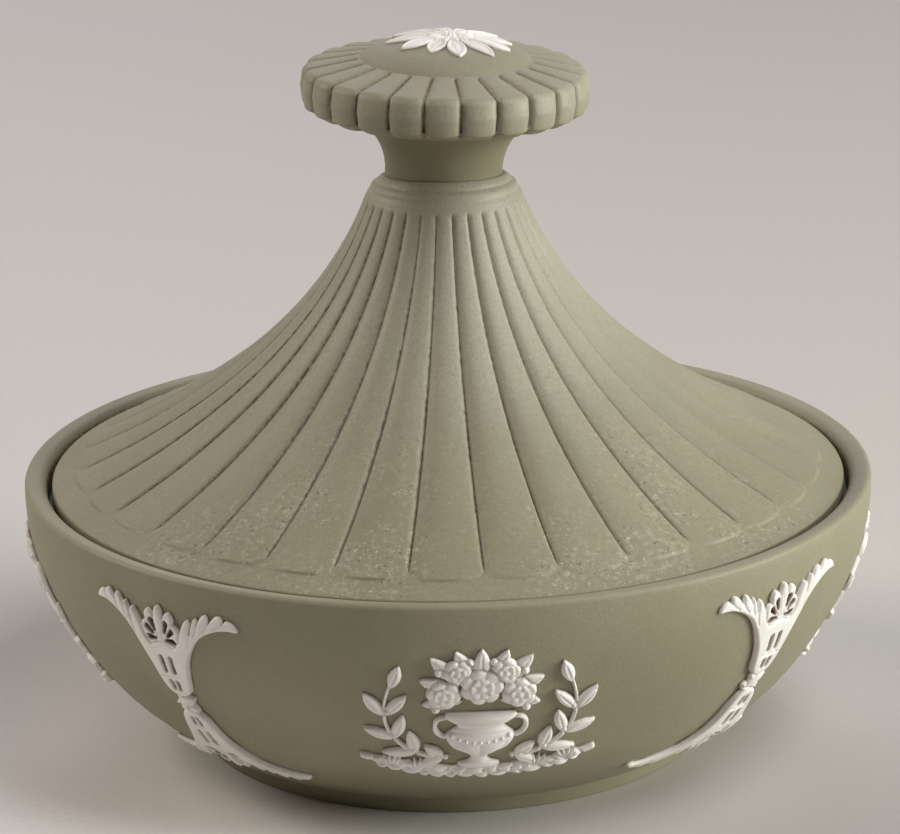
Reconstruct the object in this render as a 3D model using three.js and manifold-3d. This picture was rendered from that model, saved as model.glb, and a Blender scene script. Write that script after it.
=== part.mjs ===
// A round powder box in unglazed stoneware: a bowl on a foot ring, a fluted lid that drops inside the
// bowl's rim, a mushroom knob, and white moulded reliefs on the wall and on the knob.
// Lengths are in millimetres and angles in degrees. +Z is up, and the origin is the centre of the
// foot ring's underside. A bearing is the angle round the box, from the front (-Y) towards +X.
import * as THREE from 'three';
import { mergeVertices } from 'three/addons/utils/BufferGeometryUtils.js';
import Module from 'manifold-3d';

const wasm = await Module();
wasm.setup();

// Bowl
const RIM_RADIUS = 60;
const RIM_HEIGHT = 38.6;
const LIP_THICKNESS = 2.8;
const WALL_THICKNESS = 3.2;
const SHOULDER_DROP = 1.5;
const BELLY_TOP_POWER = 1.9;
const BELLY_FOOT_POWER = 1.2;
const FOOT_TOP_RADIUS = 36.6;
const FOOT_TAPER = 0.8;
const FOOT_HEIGHT = 2.4;
const FOOT_RING_WIDTH = 2.9;
const FLOOR_THICKNESS = 3.4;
const GALLERY_DEPTH = 3.8;
const GALLERY_WIDTH = 5.2;
const GALLERY_THICKNESS = 2.4;

// Lid
const LID_RIM_GAP = 1.2;
const LID_EDGE_THICKNESS = 3.2;
const LID_WALL = 3.6;
const LID_TOP_RADIUS = 11;
const LID_RISE = 40;
const LID_SAG = 5.7;
const LID_BORDER = 3.2;
const FLUTES = 32;
const FLUTE_GROOVE = 0.75;
const FLUTE_CROWN = 0.15;
const FLUTE_GROOVE_SHARE = 0.1;
const FLANGE_GAP = 0.8;
const FLANGE_THICKNESS = 2.6;
const FLANGE_DEPTH = 3.6;
const COLLAR_HEIGHT = 3.5;
const COLLAR_TAPER = 2.1;

// Knob
const NECK_RADIUS = 8.2;
const NECK_HEIGHT = 5.7;
const NECK_FLARE = 2.2;
const CAP_RADIUS = 19.6;
const CAP_UNDERSIDE_RISE = 3.3;
const CAP_SIDE_HEIGHT = 4.9;
const CAP_TOP_RISE = 1.6;
const CAP_DOME_RADIUS = 11.7;
const CAP_DOME_RISE = 2.1;
const GADROONS = 24;
const GADROON_CROWN = 0.3;
const GADROON_GROOVE = 0.6;
const GADROON_GROOVE_SHARE = 0.24;

// Rosette
const PETALS = 12;
const PETAL_TIP_RADIUS = 8.8;
const PETAL_NOTCH = 0.62;
const PETAL_RELIEF = 1.0;
const ROSETTE_EYE_RADIUS = 2.6;
const ROSETTE_EYE_RELIEF = 1.2;

// Upright ornaments, measured over the wall from the rim
const ORNAMENTS = 4;
const PALMETTE_TOP = 3;
const PALMETTE_LENGTH = 5.2;
const PALMETTE_PETALS = 7;
const PALMETTE_SPREAD = 80;
const ACANTHUS_REACH = 12.6;
const ACANTHUS_TIP_DROP = 1.2;
const ACANTHUS_WIDTH = 2.6;
const ACANTHUS_LOBES = 4;
const TRUMPET_TOP_WIDTH = 7;
const TRUMPET_END_WIDTH = 4;
const TRUMPET_LENGTH = 9.6;
const TIE_AT = 19.8;
const TIE_WIDTH = 4.2;
const TIE_HEIGHT = 2.4;
const ORNAMENT_RELIEF = 1.1;

// Flower groups, measured over the wall from the rim
const GROUPS = 4;
const URN_TOP = 16.6;
const URN_HEIGHT = 11.2;
const URN_WIDTH = 9.2;
const URN_RELIEF = 1.7;
const GROUND_AT = 29.6;
const GROUND_WIDTH = 31;
const GROUND_SAG = 3.8;
const GROUND_HEIGHT = 2.6;
const BOUQUET_TOP = 6;
const BOUQUET_WIDTH = 16.6;
const BLOOM_RADIUS = 2.9;
const SPRAY_REACH = 13.4;
const SPRAY_TOP = 11.6;
const SPRAY_LEAVES = 4;
const SPRAY_LEAF_LENGTH = 3.8;
const GROUP_RELIEF = 1.2;

// Clearances
const SEAT_GAP = 0.3;
const RELIEF_GAP = 0.3;

// How the lid and what is on it lie turned on the bowl
const LID_TURN = -4.5;
const KNOB_TURN = -5.3;
const ROSETTE_TURN = 6.6;

// Facets
const BOWL_SIDES = 56;
const HOLLOW_SIDES = 40;
const NECK_SIDES = 28;
const WALL_SAMPLES = 160;
const BLOOM_SIDES = 7;

const radians = THREE.MathUtils.degToRad;

// Places that several pieces share
const lipInnerRadius = RIM_RADIUS - LIP_THICKNESS;
const galleryInnerRadius = lipInnerRadius - GALLERY_WIDTH;
const galleryZ = RIM_HEIGHT - GALLERY_DEPTH;
const wallTopZ = RIM_HEIGHT - SHOULDER_DROP;
const floorZ = FOOT_HEIGHT + WALL_THICKNESS * 0.88;
const lidRadius = lipInnerRadius - LID_RIM_GAP;
const lidUnderZ = galleryZ + SEAT_GAP;
const lidEdgeZ = lidUnderZ + LID_EDGE_THICKNESS;
const lidTopZ = lidEdgeZ + LID_RISE;
const collarTopZ = lidTopZ + COLLAR_HEIGHT;
const neckBaseZ = collarTopZ + SEAT_GAP;
const capUnderZ = neckBaseZ + NECK_HEIGHT;
const capSideZ = capUnderZ + CAP_UNDERSIDE_RISE;
const capShoulderZ = capSideZ + CAP_SIDE_HEIGHT;
const domeEdgeZ = capShoulderZ + CAP_TOP_RISE;

// Materials

const stoneware = () => new THREE.MeshStandardMaterial({ color: 0x8a8570, roughness: 0.85, metalness: 0 });
const whiteClay = () => new THREE.MeshStandardMaterial({ color: 0xe4e3df, roughness: 0.7, metalness: 0 });

// Solids

function solidFromFaces(points, faces) {
  const origin = points[0];
  let volume = 0;
  for (const [a, b, c] of faces) {
    const edge = points[b].clone().sub(origin);
    volume += edge.cross(points[c].clone().sub(origin)).dot(points[a].clone().sub(origin));
  }
  const outward = volume > 0 ? faces : faces.map(([a, b, c]) => [a, c, b]);
  const mesh = new wasm.Mesh({
    numProp: 3,
    vertProperties: new Float32Array(points.flatMap((point) => point.toArray())),
    triVerts: new Uint32Array(outward.flat()),
  });
  return new wasm.Manifold(mesh);
}

function solidFromGeometry(source) {
  const bare = source.clone();
  bare.deleteAttribute('normal');
  bare.deleteAttribute('uv');
  const merged = mergeVertices(bare, 1e-4);
  const position = merged.getAttribute('position');
  const points = [];
  for (let i = 0; i < position.count; i += 1) {
    points.push(new THREE.Vector3().fromBufferAttribute(position, i));
  }
  const faces = [];
  const index = merged.getIndex().array;
  for (let i = 0; i < index.length; i += 3) {
    const [a, b, c] = [index[i], index[i + 1], index[i + 2]];
    if (a !== b && b !== c && c !== a) {
      faces.push([a, b, c]);
    }
  }
  return solidFromFaces(points, faces);
}

function geometryOf(solid) {
  const mesh = solid.getMesh();
  const geometry = new THREE.BufferGeometry();
  geometry.setAttribute('position', new THREE.BufferAttribute(new Float32Array(mesh.vertProperties), 3));
  geometry.setIndex(new THREE.BufferAttribute(new Uint32Array(mesh.triVerts), 1));
  geometry.computeVertexNormals();
  return geometry;
}

function joined(solids) {
  return solids.reduce((whole, solid) => whole.add(solid));
}

function turned(profile, sides) {
  const points = profile.map(([radius, z]) => new THREE.Vector2(radius, z));
  const lathe = new THREE.LatheGeometry(points, sides);
  lathe.rotateX(Math.PI / 2);
  return lathe;
}

// A turned body whose surface is pushed in and out in equal lobes round the axis. Each lobe has three
// columns of points: the groove, and the lobe's two shoulders.
function lobed(profile, lobes, grooveShare, push) {
  const columns = lobes * 3;
  const shares = [0, grooveShare, 1 - grooveShare];
  const lathe = turned(profile.map(({ radius, z }) => [radius, z]), columns);
  const position = lathe.getAttribute('position');
  const rings = profile.length;
  for (let i = 0; i < position.count; i += 1) {
    const ring = profile[i % rings];
    const column = Math.floor(i / rings) % columns;
    const angle = (Math.floor(column / 3) + shares[column % 3]) * (2 * Math.PI / lobes);
    const offset = ring.lobe * push(column % 3 === 0);
    const radius = ring.radius + offset * ring.normal[0];
    const z = ring.z + offset * ring.normal[1];
    position.setXYZ(i, radius * Math.sin(angle), -radius * Math.cos(angle), z);
  }
  return solidFromGeometry(lathe);
}

// The bowl's outer wall, from its shoulder at 0 to the top of the foot at 1
function wallOutline(share) {
  const swell = (1 - share ** BELLY_TOP_POWER) ** (1 / BELLY_FOOT_POWER);
  return [
    FOOT_TOP_RADIUS + (RIM_RADIUS - FOOT_TOP_RADIUS) * swell,
    wallTopZ - (wallTopZ - FOOT_HEIGHT) * share,
  ];
}

// The outline again, as places at even steps over the wall from the rim, with the outward normal
const wallPlaces = [];
{
  let travelled = SHOULDER_DROP;
  let last = wallOutline(0);
  for (let i = 0; i <= WALL_SAMPLES; i += 1) {
    const share = 0.995 * i / WALL_SAMPLES;
    const [radius, z] = wallOutline(share);
    const [nextRadius, nextZ] = wallOutline(share + 0.002);
    const run = Math.hypot(nextRadius - radius, nextZ - z);
    travelled += Math.hypot(radius - last[0], z - last[1]);
    wallPlaces.push({ travelled, radius, z, out: (z - nextZ) / run, up: (nextRadius - radius) / run });
    last = [radius, z];
  }
}

function wallAt(distance) {
  const after = wallPlaces.findIndex((place) => place.travelled >= distance);
  if (after <= 0) {
    const end = after < 0 ? wallPlaces[wallPlaces.length - 1] : wallPlaces[0];
    return end;
  }
  const low = wallPlaces[after - 1];
  const high = wallPlaces[after];
  const share = (distance - low.travelled) / (high.travelled - low.travelled);
  const between = (name) => low[name] + (high[name] - low[name]) * share;
  return { radius: between('radius'), z: between('z'), out: between('out'), up: between('up') };
}

// A point over the wall: across is to the right of the bearing, down is measured from the rim
function wallSheet(bearing) {
  return (across, down, lift) => {
    const place = wallAt(down);
    const angle = radians(bearing) + across / place.radius;
    const radius = place.radius + lift * place.out;
    return new THREE.Vector3(radius * Math.sin(angle), -radius * Math.cos(angle), place.z + lift * place.up);
  };
}

// A point over the knob's dome: down is the distance from the axis
function domeSheet(across, down, lift) {
  const distance = Math.hypot(across, down);
  const z = domeEdgeZ + CAP_DOME_RISE * (1 - (distance / CAP_DOME_RADIUS) ** 2);
  return new THREE.Vector3(across, -down, z + lift);
}

// Reliefs

// The flank of a frond: a plain wall from front points a, b to the back points below them, or a lobe
// that runs out to its tip over its own crown
function flank(points, faces, corners, lobe) {
  const [a, b, belowB, belowA] = corners;
  if (!lobe) {
    faces.push([a, b, belowB], [a, belowB, belowA]);
    return;
  }
  const tip = points.push(lobe.tip) - 1;
  const crown = points.push(lobe.crown) - 1;
  faces.push([a, b, crown], [crown, b, tip], [crown, tip, a]);
  faces.push([b, belowB, tip], [belowA, a, tip], [belowB, belowA, tip]);
}

// A stem or leaf on a sheet, drawn along a spine of rows { at, half, rise }, with pointed lobes. It ends
// at the point tip, or square at its last row. lobes[i] holds the lobes between rows i and i + 1, one on
// each side, as places [across, down] or null.
function frond(sheet, gap, rows, lobes, tip) {
  const points = [];
  const faces = [];
  const lift = (at, rise) => sheet(at[0], at[1], gap + rise);
  rows.forEach((row, i) => {
    const before = rows[Math.max(i - 1, 0)].at;
    const after = i + 1 < rows.length ? rows[i + 1].at : (tip ?? row.at);
    const along = new THREE.Vector2(after[0] - before[0], after[1] - before[1]).setLength(row.half);
    const one = [row.at[0] + along.y, row.at[1] - along.x];
    const other = [row.at[0] - along.y, row.at[1] + along.x];
    points.push(lift(row.at, row.rise), lift(one, row.rise * 0.5), lift(other, row.rise * 0.5));
    points.push(lift(one, 0), lift(other, 0));
  });
  const last = (rows.length - 1) * 5;
  for (let i = 0; i < last; i += 5) {
    const j = i + 5;
    faces.push([i, j, j + 1], [i, j + 1, i + 1], [i, i + 2, j + 2], [i, j + 2, j]);
    faces.push([i + 3, j + 3, j + 4], [i + 3, j + 4, i + 4]);
    const row = rows[i / 5];
    const [oneLobe, otherLobe] = (lobes[i / 5] ?? [null, null]).map((place) => place && {
      tip: lift(place, 0),
      crown: lift([(place[0] + row.at[0]) / 2, (place[1] + row.at[1]) / 2], row.rise * 0.8),
    });
    flank(points, faces, [i + 1, j + 1, j + 3, i + 3], oneLobe);
    flank(points, faces, [j + 2, i + 2, i + 4, j + 4], otherLobe);
  }
  faces.push([0, 1, 3], [0, 3, 4], [0, 4, 2]);
  if (tip) {
    const end = points.push(lift(tip, 0)) - 1;
    faces.push([last, end, last + 1], [last, last + 2, end], [last + 3, end, last + 4]);
    faces.push([last + 1, end, last + 3], [end, last + 2, last + 4]);
  } else {
    faces.push([last, last + 2, last + 4], [last, last + 4, last + 3], [last, last + 3, last + 1]);
  }
  return solidFromFaces(points, faces);
}

// Pointed petals round a centre on a sheet, given by their tips in order. A closed star goes all the
// way round, and an open one is a fan.
function star(sheet, gap, centre, tips, notchShare, rise, closed) {
  const lift = (at, height) => sheet(at[0], at[1], gap + height);
  const points = [lift(centre, rise * 0.9), lift(centre, 0)];
  const faces = [];
  const towards = (tip, share) => [
    centre[0] + (tip[0] - centre[0]) * share,
    centre[1] + (tip[1] - centre[1]) * share,
  ];
  const count = tips.length;
  const notches = closed ? count : count + 1;
  for (let i = 0; i < notches; i += 1) {
    const before = tips[closed ? (i + count - 1) % count : Math.max(i - 1, 0)];
    const after = tips[Math.min(i, count - 1)];
    const middle = [(before[0] + after[0]) / 2, (before[1] + after[1]) / 2];
    const notch = towards(middle, notchShare);
    points.push(lift(notch, rise * 0.45), lift(notch, 0));
  }
  if (!closed) {
    const spread = (end, next, at) => {
      const away = [end[0] - next[0], end[1] - next[1]];
      const notch = towards(end, notchShare);
      const place = [notch[0] + away[0] * 0.3, notch[1] + away[1] * 0.3];
      points[at] = lift(place, rise * 0.45);
      points[at + 1] = lift(place, 0);
    };
    spread(tips[0], tips[1], 2);
    spread(tips[count - 1], tips[count - 2], 2 * notches);
  }
  for (let i = 0; i < count; i += 1) {
    const near = 2 + 2 * i;
    const far = 2 + 2 * ((i + 1) % notches);
    const tip = points.push(lift(tips[i], 0)) - 1;
    const crown = points.push(lift(towards(tips[i], 0.62), rise)) - 1;
    faces.push([0, near, crown], [near, tip, crown], [crown, tip, far], [0, crown, far]);
    faces.push([tip, near, near + 1], [far, tip, far + 1], [1, tip, near + 1], [1, far + 1, tip]);
  }
  if (!closed) {
    const end = 2 * notches;
    faces.push([2, 0, 1], [2, 1, 3], [0, end, end + 1], [0, end + 1, 1]);
  }
  return solidFromFaces(points, faces);
}

// A body with an upright axis on a sheet, flat behind and swelling in front, given by its rows
function upright(sheet, rows) {
  const points = [];
  const faces = [];
  for (const { down, half, rise } of rows) {
    points.push(sheet(-half, down, RELIEF_GAP));
    points.push(sheet(-half * 0.62, down, RELIEF_GAP + rise * 0.85));
    points.push(sheet(half * 0.62, down, RELIEF_GAP + rise * 0.85));
    points.push(sheet(half, down, RELIEF_GAP));
    points.push(sheet(0, down, RELIEF_GAP));
  }
  const size = 5;
  const last = (rows.length - 1) * size;
  for (let a = 0; a < last; a += size) {
    for (let k = 0; k < size; k += 1) {
      const next = (k + 1) % size;
      faces.push([a + next, a + k, a + size + k]);
      faces.push([a + next, a + size + k, a + size + next]);
    }
  }
  faces.push([0, 1, 4], [1, 2, 4], [2, 3, 4]);
  faces.push([last, last + 4, last + 1], [last + 1, last + 4, last + 2], [last + 2, last + 4, last + 3]);
  return solidFromFaces(points, faces);
}

// A round flower head or knot on a sheet
function boss(sheet, gap, [across, down], [halfWidth, halfHeight], rise) {
  const points = [sheet(across, down, gap), sheet(across, down, gap + rise)];
  const faces = [];
  for (let i = 0; i < BLOOM_SIDES; i += 1) {
    const angle = 2 * Math.PI * (i + 0.5) / BLOOM_SIDES;
    const [x, y] = [Math.cos(angle) * halfWidth, Math.sin(angle) * halfHeight];
    points.push(sheet(across + x, down + y, gap));
    points.push(sheet(across + x * 0.8, down + y * 0.8, gap + rise * 0.75));
  }
  for (let i = 0; i < BLOOM_SIDES; i += 1) {
    const low = 2 + 2 * i;
    const nextLow = 2 + 2 * ((i + 1) % BLOOM_SIDES);
    faces.push([0, nextLow, low], [low, nextLow, low + 1]);
    faces.push([low + 1, nextLow, nextLow + 1], [low + 1, nextLow + 1, 1]);
  }
  return solidFromFaces(points, faces);
}

// Bowl

function bowlSolid() {
  const lipRound = LIP_THICKNESS / 2;
  const outer = [0, 0.2, 0.38, 0.54, 0.69, 0.82, 0.92, 0.98, 1].map(wallOutline).reverse();
  const inner = [0.34, 0.54, 0.72, 0.87].map((share) => {
    const [radius, z] = wallOutline(share);
    const [nextRadius, nextZ] = wallOutline(share + 0.002);
    const run = Math.hypot(nextRadius - radius, nextZ - z);
    return [
      radius - WALL_THICKNESS * (z - nextZ) / run,
      z - WALL_THICKNESS * (nextRadius - radius) / run,
    ];
  });
  const footRadius = FOOT_TOP_RADIUS - FOOT_TAPER;
  const ringInnerRadius = footRadius - FOOT_RING_WIDTH;
  const profile = [
    [0, floorZ - FLOOR_THICKNESS],
    [ringInnerRadius - 1, floorZ - FLOOR_THICKNESS],
    [ringInnerRadius, 0],
    [footRadius, 0],
    ...outer,
    [RIM_RADIUS - lipRound * 0.4, RIM_HEIGHT - lipRound * 0.2],
    [lipInnerRadius + lipRound * 0.4, RIM_HEIGHT],
    [lipInnerRadius, RIM_HEIGHT - lipRound],
    [lipInnerRadius, galleryZ],
    [galleryInnerRadius, galleryZ],
    [galleryInnerRadius, galleryZ - GALLERY_THICKNESS],
    ...inner,
    [FOOT_TOP_RADIUS - WALL_THICKNESS, floorZ],
    [0, floorZ],
  ];
  return solidFromGeometry(turned(profile, BOWL_SIDES));
}

// Lid

// The lid's swept outline: its height at a radius, falling from the collar to the edge
function lidHeight(radius) {
  const share = Math.log(radius / LID_TOP_RADIUS) / Math.log(lidRadius / LID_TOP_RADIUS);
  return lidTopZ - LID_RISE * share - LID_SAG * share * Math.max(1 - share, 0) ** 3;
}

function lidNormal(radius) {
  const slope = lidHeight(radius + 0.05) - lidHeight(radius - 0.05);
  const run = Math.hypot(0.1, slope);
  return [-slope / run, 0.1 / run];
}

function lidSolid() {
  const fluteEnd = lidRadius - LID_BORDER;
  const reach = fluteEnd / LID_TOP_RADIUS;
  const flangeRadius = galleryInnerRadius - FLANGE_GAP;
  const flangeInnerRadius = flangeRadius - FLANGE_THICKNESS;
  const flangeZ = lidUnderZ - FLANGE_DEPTH;
  const edgeRound = LID_EDGE_THICKNESS * 0.3;
  const collarRadius = LID_TOP_RADIUS - 0.7;
  const plain = (radius, z) => ({ radius, z, normal: [0, 0], lobe: 0 });
  const rings = [0.97, 0.78, 0.57, 0.36, 0.17, 0.03].map((share) => {
    const radius = LID_TOP_RADIUS * reach ** share;
    return { radius, z: lidHeight(radius), normal: lidNormal(radius), lobe: 1 };
  });
  const shell = lobed([
    plain(0, flangeZ),
    plain(flangeRadius, flangeZ),
    plain(flangeRadius, lidUnderZ),
    plain(lidRadius - edgeRound, lidUnderZ),
    plain(lidRadius, lidEdgeZ - edgeRound),
    plain(lidRadius - edgeRound, lidHeight(lidRadius - edgeRound)),
    plain(fluteEnd, lidHeight(fluteEnd)),
    ...rings,
    plain(LID_TOP_RADIUS, lidTopZ),
    plain(collarRadius, lidTopZ + COLLAR_HEIGHT * 0.55),
    plain(LID_TOP_RADIUS - COLLAR_TAPER, lidTopZ + COLLAR_HEIGHT * 0.85),
    plain(LID_TOP_RADIUS - COLLAR_TAPER - 0.3, collarTopZ),
    plain(0, collarTopZ),
  ], FLUTES, FLUTE_GROOVE_SHARE, (groove) => (groove ? -FLUTE_GROOVE : FLUTE_CROWN));

  const inside = [0.94, 0.7, 0.46, 0.24, 0.06].map((share) => {
    const radius = LID_TOP_RADIUS * reach ** share;
    const [out, up] = lidNormal(radius);
    return [radius - LID_WALL * out, lidHeight(radius) - LID_WALL * up];
  });
  const hollow = solidFromGeometry(turned([
    [0, flangeZ - 1],
    [flangeInnerRadius, flangeZ - 1],
    [Math.min(flangeInnerRadius, inside[0][0]), Math.min(inside[0][1], lidUnderZ)],
    ...inside.slice(1),
    [0, inside[inside.length - 1][1] + 1],
  ], HOLLOW_SIDES));
  return shell.subtract(hollow);
}

// Knob

function knobSolid() {
  const neckTopRadius = NECK_RADIUS + NECK_FLARE;
  const neck = solidFromGeometry(turned([
    [0, neckBaseZ],
    [NECK_RADIUS, neckBaseZ],
    [NECK_RADIUS + NECK_FLARE * 0.06, neckBaseZ + NECK_HEIGHT * 0.3],
    [NECK_RADIUS + NECK_FLARE * 0.3, neckBaseZ + NECK_HEIGHT * 0.62],
    [neckTopRadius, capUnderZ],
    [neckTopRadius + CAP_UNDERSIDE_RISE, capUnderZ + CAP_UNDERSIDE_RISE * 0.6],
    [0, capSideZ],
  ], NECK_SIDES));
  const cap = lobed([
    { radius: 0, z: capUnderZ + 0.4, normal: [0, -1], lobe: 0 },
    { radius: neckTopRadius - 0.5, z: capUnderZ + 0.4, normal: [0, -1], lobe: 0 },
    { radius: CAP_RADIUS - 1, z: capSideZ - 0.5, normal: [1, 0], lobe: 1 },
    { radius: CAP_RADIUS - 0.3, z: capSideZ, normal: [1, 0], lobe: 1 },
    { radius: CAP_RADIUS, z: capSideZ + CAP_SIDE_HEIGHT * 0.45, normal: [1, 0], lobe: 1 },
    { radius: CAP_RADIUS - 0.7, z: capShoulderZ - 0.7, normal: [1, 0], lobe: 1 },
    { radius: CAP_RADIUS - 2, z: capShoulderZ, normal: [0.6, 0.8], lobe: 0.9 },
    { radius: CAP_DOME_RADIUS + 0.6, z: domeEdgeZ, normal: [0, 1], lobe: 0.4 },
    { radius: CAP_DOME_RADIUS, z: domeEdgeZ, normal: [0, 1], lobe: 0 },
    { radius: CAP_DOME_RADIUS * 0.55, z: domeEdgeZ + CAP_DOME_RISE * 0.7, normal: [0, 1], lobe: 0 },
    { radius: 0, z: domeEdgeZ + CAP_DOME_RISE, normal: [0, 1], lobe: 0 },
  ], GADROONS, GADROON_GROOVE_SHARE, (groove) => (groove ? -GADROON_GROOVE : GADROON_CROWN));
  return neck.add(cap);
}

// Rosette on the knob

function rosetteSolid() {
  const tips = [];
  for (let i = 0; i < PETALS; i += 1) {
    const angle = 2 * Math.PI * i / PETALS;
    tips.push([Math.sin(angle) * PETAL_TIP_RADIUS, Math.cos(angle) * PETAL_TIP_RADIUS]);
  }
  const petals = star(domeSheet, RELIEF_GAP, [0, 0], tips, PETAL_NOTCH, PETAL_RELIEF, true);
  const eye = boss(domeSheet, RELIEF_GAP * 2, [0, 0], [ROSETTE_EYE_RADIUS, ROSETTE_EYE_RADIUS],
    ROSETTE_EYE_RELIEF);
  return petals.add(eye);
}

// Upright ornaments: the same trumpet above the tie and, turned over, below it

function trumpetSolid(sheet) {
  const trumpetTop = PALMETTE_TOP + PALMETTE_LENGTH;
  const trumpetEnd = trumpetTop + TRUMPET_LENGTH;
  const stem = upright(sheet, [
    { down: trumpetTop, half: TRUMPET_TOP_WIDTH * 0.34, rise: ORNAMENT_RELIEF * 0.8 },
    { down: trumpetTop + TRUMPET_LENGTH * 0.15, half: TRUMPET_TOP_WIDTH / 2, rise: ORNAMENT_RELIEF },
    { down: trumpetTop + TRUMPET_LENGTH * 0.55, half: TRUMPET_TOP_WIDTH * 0.41, rise: ORNAMENT_RELIEF },
    { down: trumpetEnd - TRUMPET_LENGTH * 0.1, half: TRUMPET_END_WIDTH / 2, rise: ORNAMENT_RELIEF },
    { down: trumpetEnd, half: TRUMPET_END_WIDTH * 0.25, rise: ORNAMENT_RELIEF * 0.6 },
  ]);
  const tips = [];
  for (let i = 0; i < PALMETTE_PETALS; i += 1) {
    const share = i / (PALMETTE_PETALS - 1) * 2 - 1;
    const angle = radians(PALMETTE_SPREAD * share);
    const length = PALMETTE_LENGTH * (1 - 0.28 * Math.abs(share));
    tips.push([Math.sin(angle) * length, trumpetTop - Math.cos(angle) * length]);
  }
  const heart = [0, trumpetTop + 0.6];
  const palmette = star(sheet, RELIEF_GAP * 1.8, heart, tips, 0.66, ORNAMENT_RELIEF * 0.8, false);
  const leaves = [-1, 1].map((side) => acanthusSolid(sheet, side, trumpetTop));
  return joined([stem, palmette, ...leaves]);
}

// One curling leaf with lobes along its upper edge, growing out of the trumpet's shoulder
function acanthusSolid(sheet, side, trumpetTop) {
  const tipDown = PALMETTE_TOP + ACANTHUS_TIP_DROP;
  const root = [TRUMPET_TOP_WIDTH * 0.36, trumpetTop + 2.6];
  const curve = new THREE.QuadraticBezierCurve(
    new THREE.Vector2(...root),
    new THREE.Vector2(root[0] + 2.2, tipDown + 1.9),
    new THREE.Vector2(ACANTHUS_REACH, tipDown),
  );
  const at = (share) => {
    const point = curve.getPoint(share);
    return [side * point.x, point.y];
  };
  const rows = [];
  const lobes = [];
  for (let i = 0; i <= ACANTHUS_LOBES; i += 1) {
    const share = i / (ACANTHUS_LOBES + 0.6);
    const half = ACANTHUS_WIDTH / 2 * (0.9 - 0.45 * share);
    rows.push({ at: at(share), half, rise: ORNAMENT_RELIEF * 0.85 });
    const [across, down] = at(share + 0.8 / (ACANTHUS_LOBES + 0.6));
    const lobe = [across + side * 0.2, down - ACANTHUS_WIDTH * 0.62];
    lobes.push(side > 0 ? [lobe, null] : [null, lobe]);
  }
  return frond(sheet, RELIEF_GAP * 1.4, rows, lobes, at(1));
}

function turnedOver(sheet) {
  return (across, down, lift) => sheet(across, 2 * TIE_AT - down, lift);
}

function tieSolid(sheet) {
  return boss(sheet, RELIEF_GAP, [0, TIE_AT], [TIE_WIDTH / 2, TIE_HEIGHT / 2], ORNAMENT_RELIEF * 1.2);
}

// Flower groups

function urnSolid(sheet) {
  const outline = [
    [0, 1, 0.8], [0.09, 0.96, 0.9], [0.2, 0.66, 0.8], [0.36, 0.98, 1],
    [0.56, 0.84, 1], [0.76, 0.34, 0.7], [0.85, 0.24, 0.6], [1, 0.62, 0.6],
  ];
  return upright(sheet, outline.map(([share, half, rise]) => ({
    down: URN_TOP + URN_HEIGHT * share,
    half: URN_WIDTH / 2 * half,
    rise: URN_RELIEF * rise,
  })));
}

function bouquetSolid(sheet) {
  const bottom = URN_TOP - 0.4;
  const height = bottom - BOUQUET_TOP;
  const half = BOUQUET_WIDTH / 2;
  const place = ([across, down]) => [across * half, BOUQUET_TOP + height * down];
  const leafTips = [[-0.92, 0.86], [-1, 0.44], [-0.8, 0.12], [0, 0], [0.8, 0.12], [1, 0.44], [0.92, 0.86]];
  const blooms = [
    { at: [0, 0.55], size: 1 },
    { at: [-0.56, 0.68], size: 0.8 }, { at: [0.56, 0.68], size: 0.8 },
    { at: [-0.36, 0.3], size: 0.66 }, { at: [0.36, 0.3], size: 0.66 },
  ];
  const leaves = star(sheet, RELIEF_GAP, place([0, 0.76]), leafTips.map(place), 0.6,
    GROUP_RELIEF * 0.8, false);
  const heads = blooms.map(({ at, size }, i) => {
    const radius = BLOOM_RADIUS * size;
    return boss(sheet, RELIEF_GAP * (1.5 + 0.2 * i), place(at), [radius, radius], GROUP_RELIEF);
  });
  return joined([leaves, ...heads]);
}

function spraySolid(sheet, side) {
  const start = [URN_WIDTH * 0.48, GROUND_AT - GROUND_HEIGHT - 1.1];
  const curve = new THREE.CubicBezierCurve(
    new THREE.Vector2(...start),
    new THREE.Vector2(start[0] + SPRAY_REACH * 0.34, start[1] + 0.2),
    new THREE.Vector2(SPRAY_REACH * 1.12, start[1] - (start[1] - SPRAY_TOP) * 0.4),
    new THREE.Vector2(SPRAY_REACH * 0.9, SPRAY_TOP),
  );
  const rows = [];
  const lobes = [];
  for (let i = 0; i <= SPRAY_LEAVES; i += 1) {
    const share = i / SPRAY_LEAVES;
    const point = curve.getPoint(share);
    const along = curve.getTangent(Math.min(share + 0.5 / SPRAY_LEAVES, 1));
    rows.push({ at: [side * point.x, point.y], half: 0.6, rise: GROUP_RELIEF * 0.7 });
    const tips = [1, -1].map((turn) => {
      const way = along.clone().rotateAround(new THREE.Vector2(), -turn * side * radians(38));
      const reach = SPRAY_LEAF_LENGTH * (i === 0 ? 0.8 : 1.25);
      return [side * (point.x + way.x * reach), point.y + way.y * reach];
    });
    lobes.push(tips);
  }
  const end = curve.getPoint(1);
  const tip = [side * (end.x - 1.2), end.y - SPRAY_LEAF_LENGTH * 0.8];
  return frond(sheet, RELIEF_GAP, rows, lobes, tip);
}

function groundSolid(sheet) {
  const steps = 6;
  const rows = [];
  for (let i = 0; i <= steps; i += 1) {
    const share = i / steps * 2 - 1;
    rows.push({
      at: [GROUND_WIDTH / 2 * share, GROUND_AT - GROUND_SAG * share * share],
      half: GROUND_HEIGHT / 2 * (1 - 0.7 * share * share),
      rise: GROUP_RELIEF * (1 - 0.5 * share * share),
    });
  }
  return frond(sheet, RELIEF_GAP, rows, [], null);
}

// Assembly

const box = new THREE.Group();

function place(parent, name, solid, material) {
  const mesh = new THREE.Mesh(geometryOf(solid), material);
  mesh.name = name;
  parent.add(mesh);
  return mesh;
}

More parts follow.
